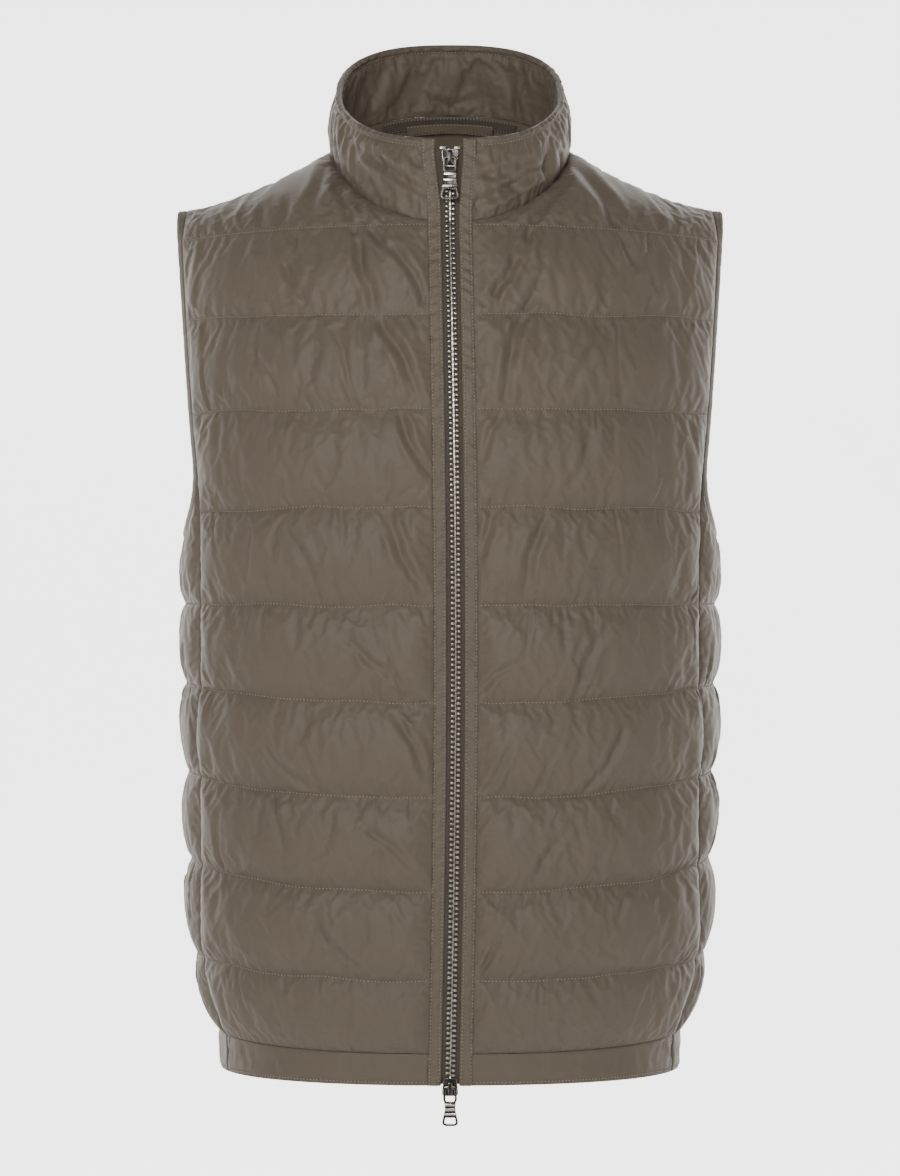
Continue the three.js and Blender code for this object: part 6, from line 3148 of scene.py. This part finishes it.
FRONT_CREASES = {
    Flank.LEFT: creased(
        (-80, -10, -66, -44, 1.6, 4.2),
        (-62, -38, -50, -98, 2.2, 4.6),
        (-50, -104, -21, -163, 2.6, 4.4),
        (-66, -21, -40, -60, 1.4, 3.4),
        (-38, -58, -16, -98, 2.0, 3.8),
        (-35, -166, -13, -215, 2.0, 3.6),
        (-85, 10, -101, -36, 1.4, 4.4),
        (-118, -52, -98, -92, 1.2, 3.6),
        (-134, -128, -116, -158, 1.0, 3.0),
        (-43, -235, -14, -299, 2.2, 3.8),
        (-112, -246, -92, -284, 1.2, 3.4),
        (-70, -322, -34, -352, 1.6, 3.2),
        (-38, -376, -17, -418, 1.6, 3.4),
        (-124, -398, -96, -426, 1.3, 3.0),
        (-58, -452, -22, -484, 1.5, 3.2),
        (-90, -520, -62, -548, 1.2, 3.0),
    ),
    Flank.RIGHT: creased(
        (84, 9, 127, -68, 2.0, 4.8),
        (75, -14, 50, -56, 2.1, 4.4),
        (48, -58, 24, -96, 2.2, 3.8),
        (60, -81, 37, -160, 2.5, 4.4),
        (104, -92, 84, -150, 1.3, 3.8),
        (37, -168, 23, -200, 1.7, 3.2),
        (94, -186, 78, -226, 1.1, 3.4),
        (65, -240, 50, -294, 2.0, 3.8),
        (30, -222, 17, -276, 1.8, 3.4),
        (112, -307, 84, -366, 1.8, 3.8),
        (117, -385, 90, -431, 1.7, 3.4),
        (46, -340, 20, -360, 1.4, 2.8),
        (40, -400, 17, -436, 1.6, 3.2),
        (78, -456, 56, -490, 1.4, 3.4),
        (34, -528, 16, -556, 1.3, 2.8),
        (130, -486, 110, -520, 1.1, 3.2),
    ),
}
BACK_CREASES = creased(
    (-92, -52, -60, -112, 1.9, 4.4),
    (-56, -118, -38, -176, 1.6, 4.0),
    (88, -60, 52, -132, 2.1, 4.6),
    (-120, -150, -92, -214, 1.5, 4.0),
    (110, -176, 78, -250, 1.8, 4.4),
    (-40, -214, -18, -286, 1.6, 3.8),
    (46, -262, 20, -322, 1.7, 4.0),
    (-104, -288, -80, -344, 1.4, 3.6),
    (96, -330, 70, -396, 1.6, 4.0),
    (-62, -366, -36, -424, 1.5, 3.6),
    (28, -420, 4, -470, 1.2, 3.4),
    (-112, -442, -88, -500, 1.4, 3.6),
    (104, -474, 80, -536, 1.5, 3.8),
    (-30, -506, -10, -560, 1.1, 3.2),
)
SIDE_CREASES = {
    Flank.LEFT: creased(
        (-34, -212, -12, -262, 1.3, 3.4),
        (30, -230, 8, -290, 1.5, 3.6),
        (-40, -330, -20, -392, 1.4, 3.4),
        (36, -372, 14, -438, 1.6, 3.6),
        (-10, -470, 6, -528, 1.2, 3.2),
    ),
    Flank.RIGHT: creased(
        (28, -208, 10, -246, 1.2, 3.2),
        (-30, -236, -8, -312, 1.5, 3.6),
        (40, -318, 18, -380, 1.4, 3.4),
        (-36, -404, -12, -462, 1.5, 3.6),
        (20, -486, 2, -548, 1.3, 3.2),
    ),
}


def main() -> None:
    """Builds the vest and its stage."""
    logging.basicConfig(level=logging.INFO, format="%(message)s")
    Stage().build()
    nylon, plain = NylonFinish().make(), NylonFinish(name="plain_nylon", crinkle=0.0003).make()
    tape, thread = TapeFinish().make(), ThreadFinish().make()
    nickel = MetalFinish("nickel", (0.56, 0.51, 0.45, 1), (0.25, 0.22, 0.185, 1), 0.24).make()
    # the plating's own dark colour, darkened further to stand in for dark reflections: partly painted
    # reflection
    gunmetal = MetalFinish("gunmetal", (0.075, 0.068, 0.061, 1), (0.035, 0.031, 0.028, 1), 0.2).make()
    # painted highlight: a light metal for the edges and raised bands of the sliders and pull tabs
    rubbed = MetalFinish("painted_highlight_nickel", (0.80, 0.77, 0.72, 1), (0.42, 0.39, 0.35, 1), 0.16).make()
    fronts, sides, bindings = [], [], []
    back = BackPanel(nylon, "quilted_back", "back", spacing=3.75, seed=23, creases=BACK_CREASES)
    for flank in Flank:
        names = {"name": f"quilted_front_{flank.word}", "node": f"front_{flank.word}", "flank": flank}
        front = FrontPanel(nylon, seed=3 + flank.value, creases=FRONT_CREASES[flank], **names)
        names = {"name": f"quilted_side_{flank.word}", "node": f"side_{flank.word}", "flank": flank}
        side = SidePanel(nylon, seed=13 + flank.value, creases=SIDE_CREASES[flank], **names)
        fronts.append(front)
        sides.append(side)
        bindings.append(ArmholeBinding(plain, side, front, back, flank))
    collar = Collar(nylon)
    closure = Zip(plain, tape, nickel, gunmetal, rubbed, FrontLine(collar))
    neck = NeckFinish(tape, plain, back)
    seams: Seams = []
    for assembly in (*fronts, *sides, back, *bindings, HemBand(plain), collar, closure, neck):
        assembly.build()
        seams += assembly.seams
    Stitching(thread).build("stitches", seams)


if __name__ == "__main__":
    main()
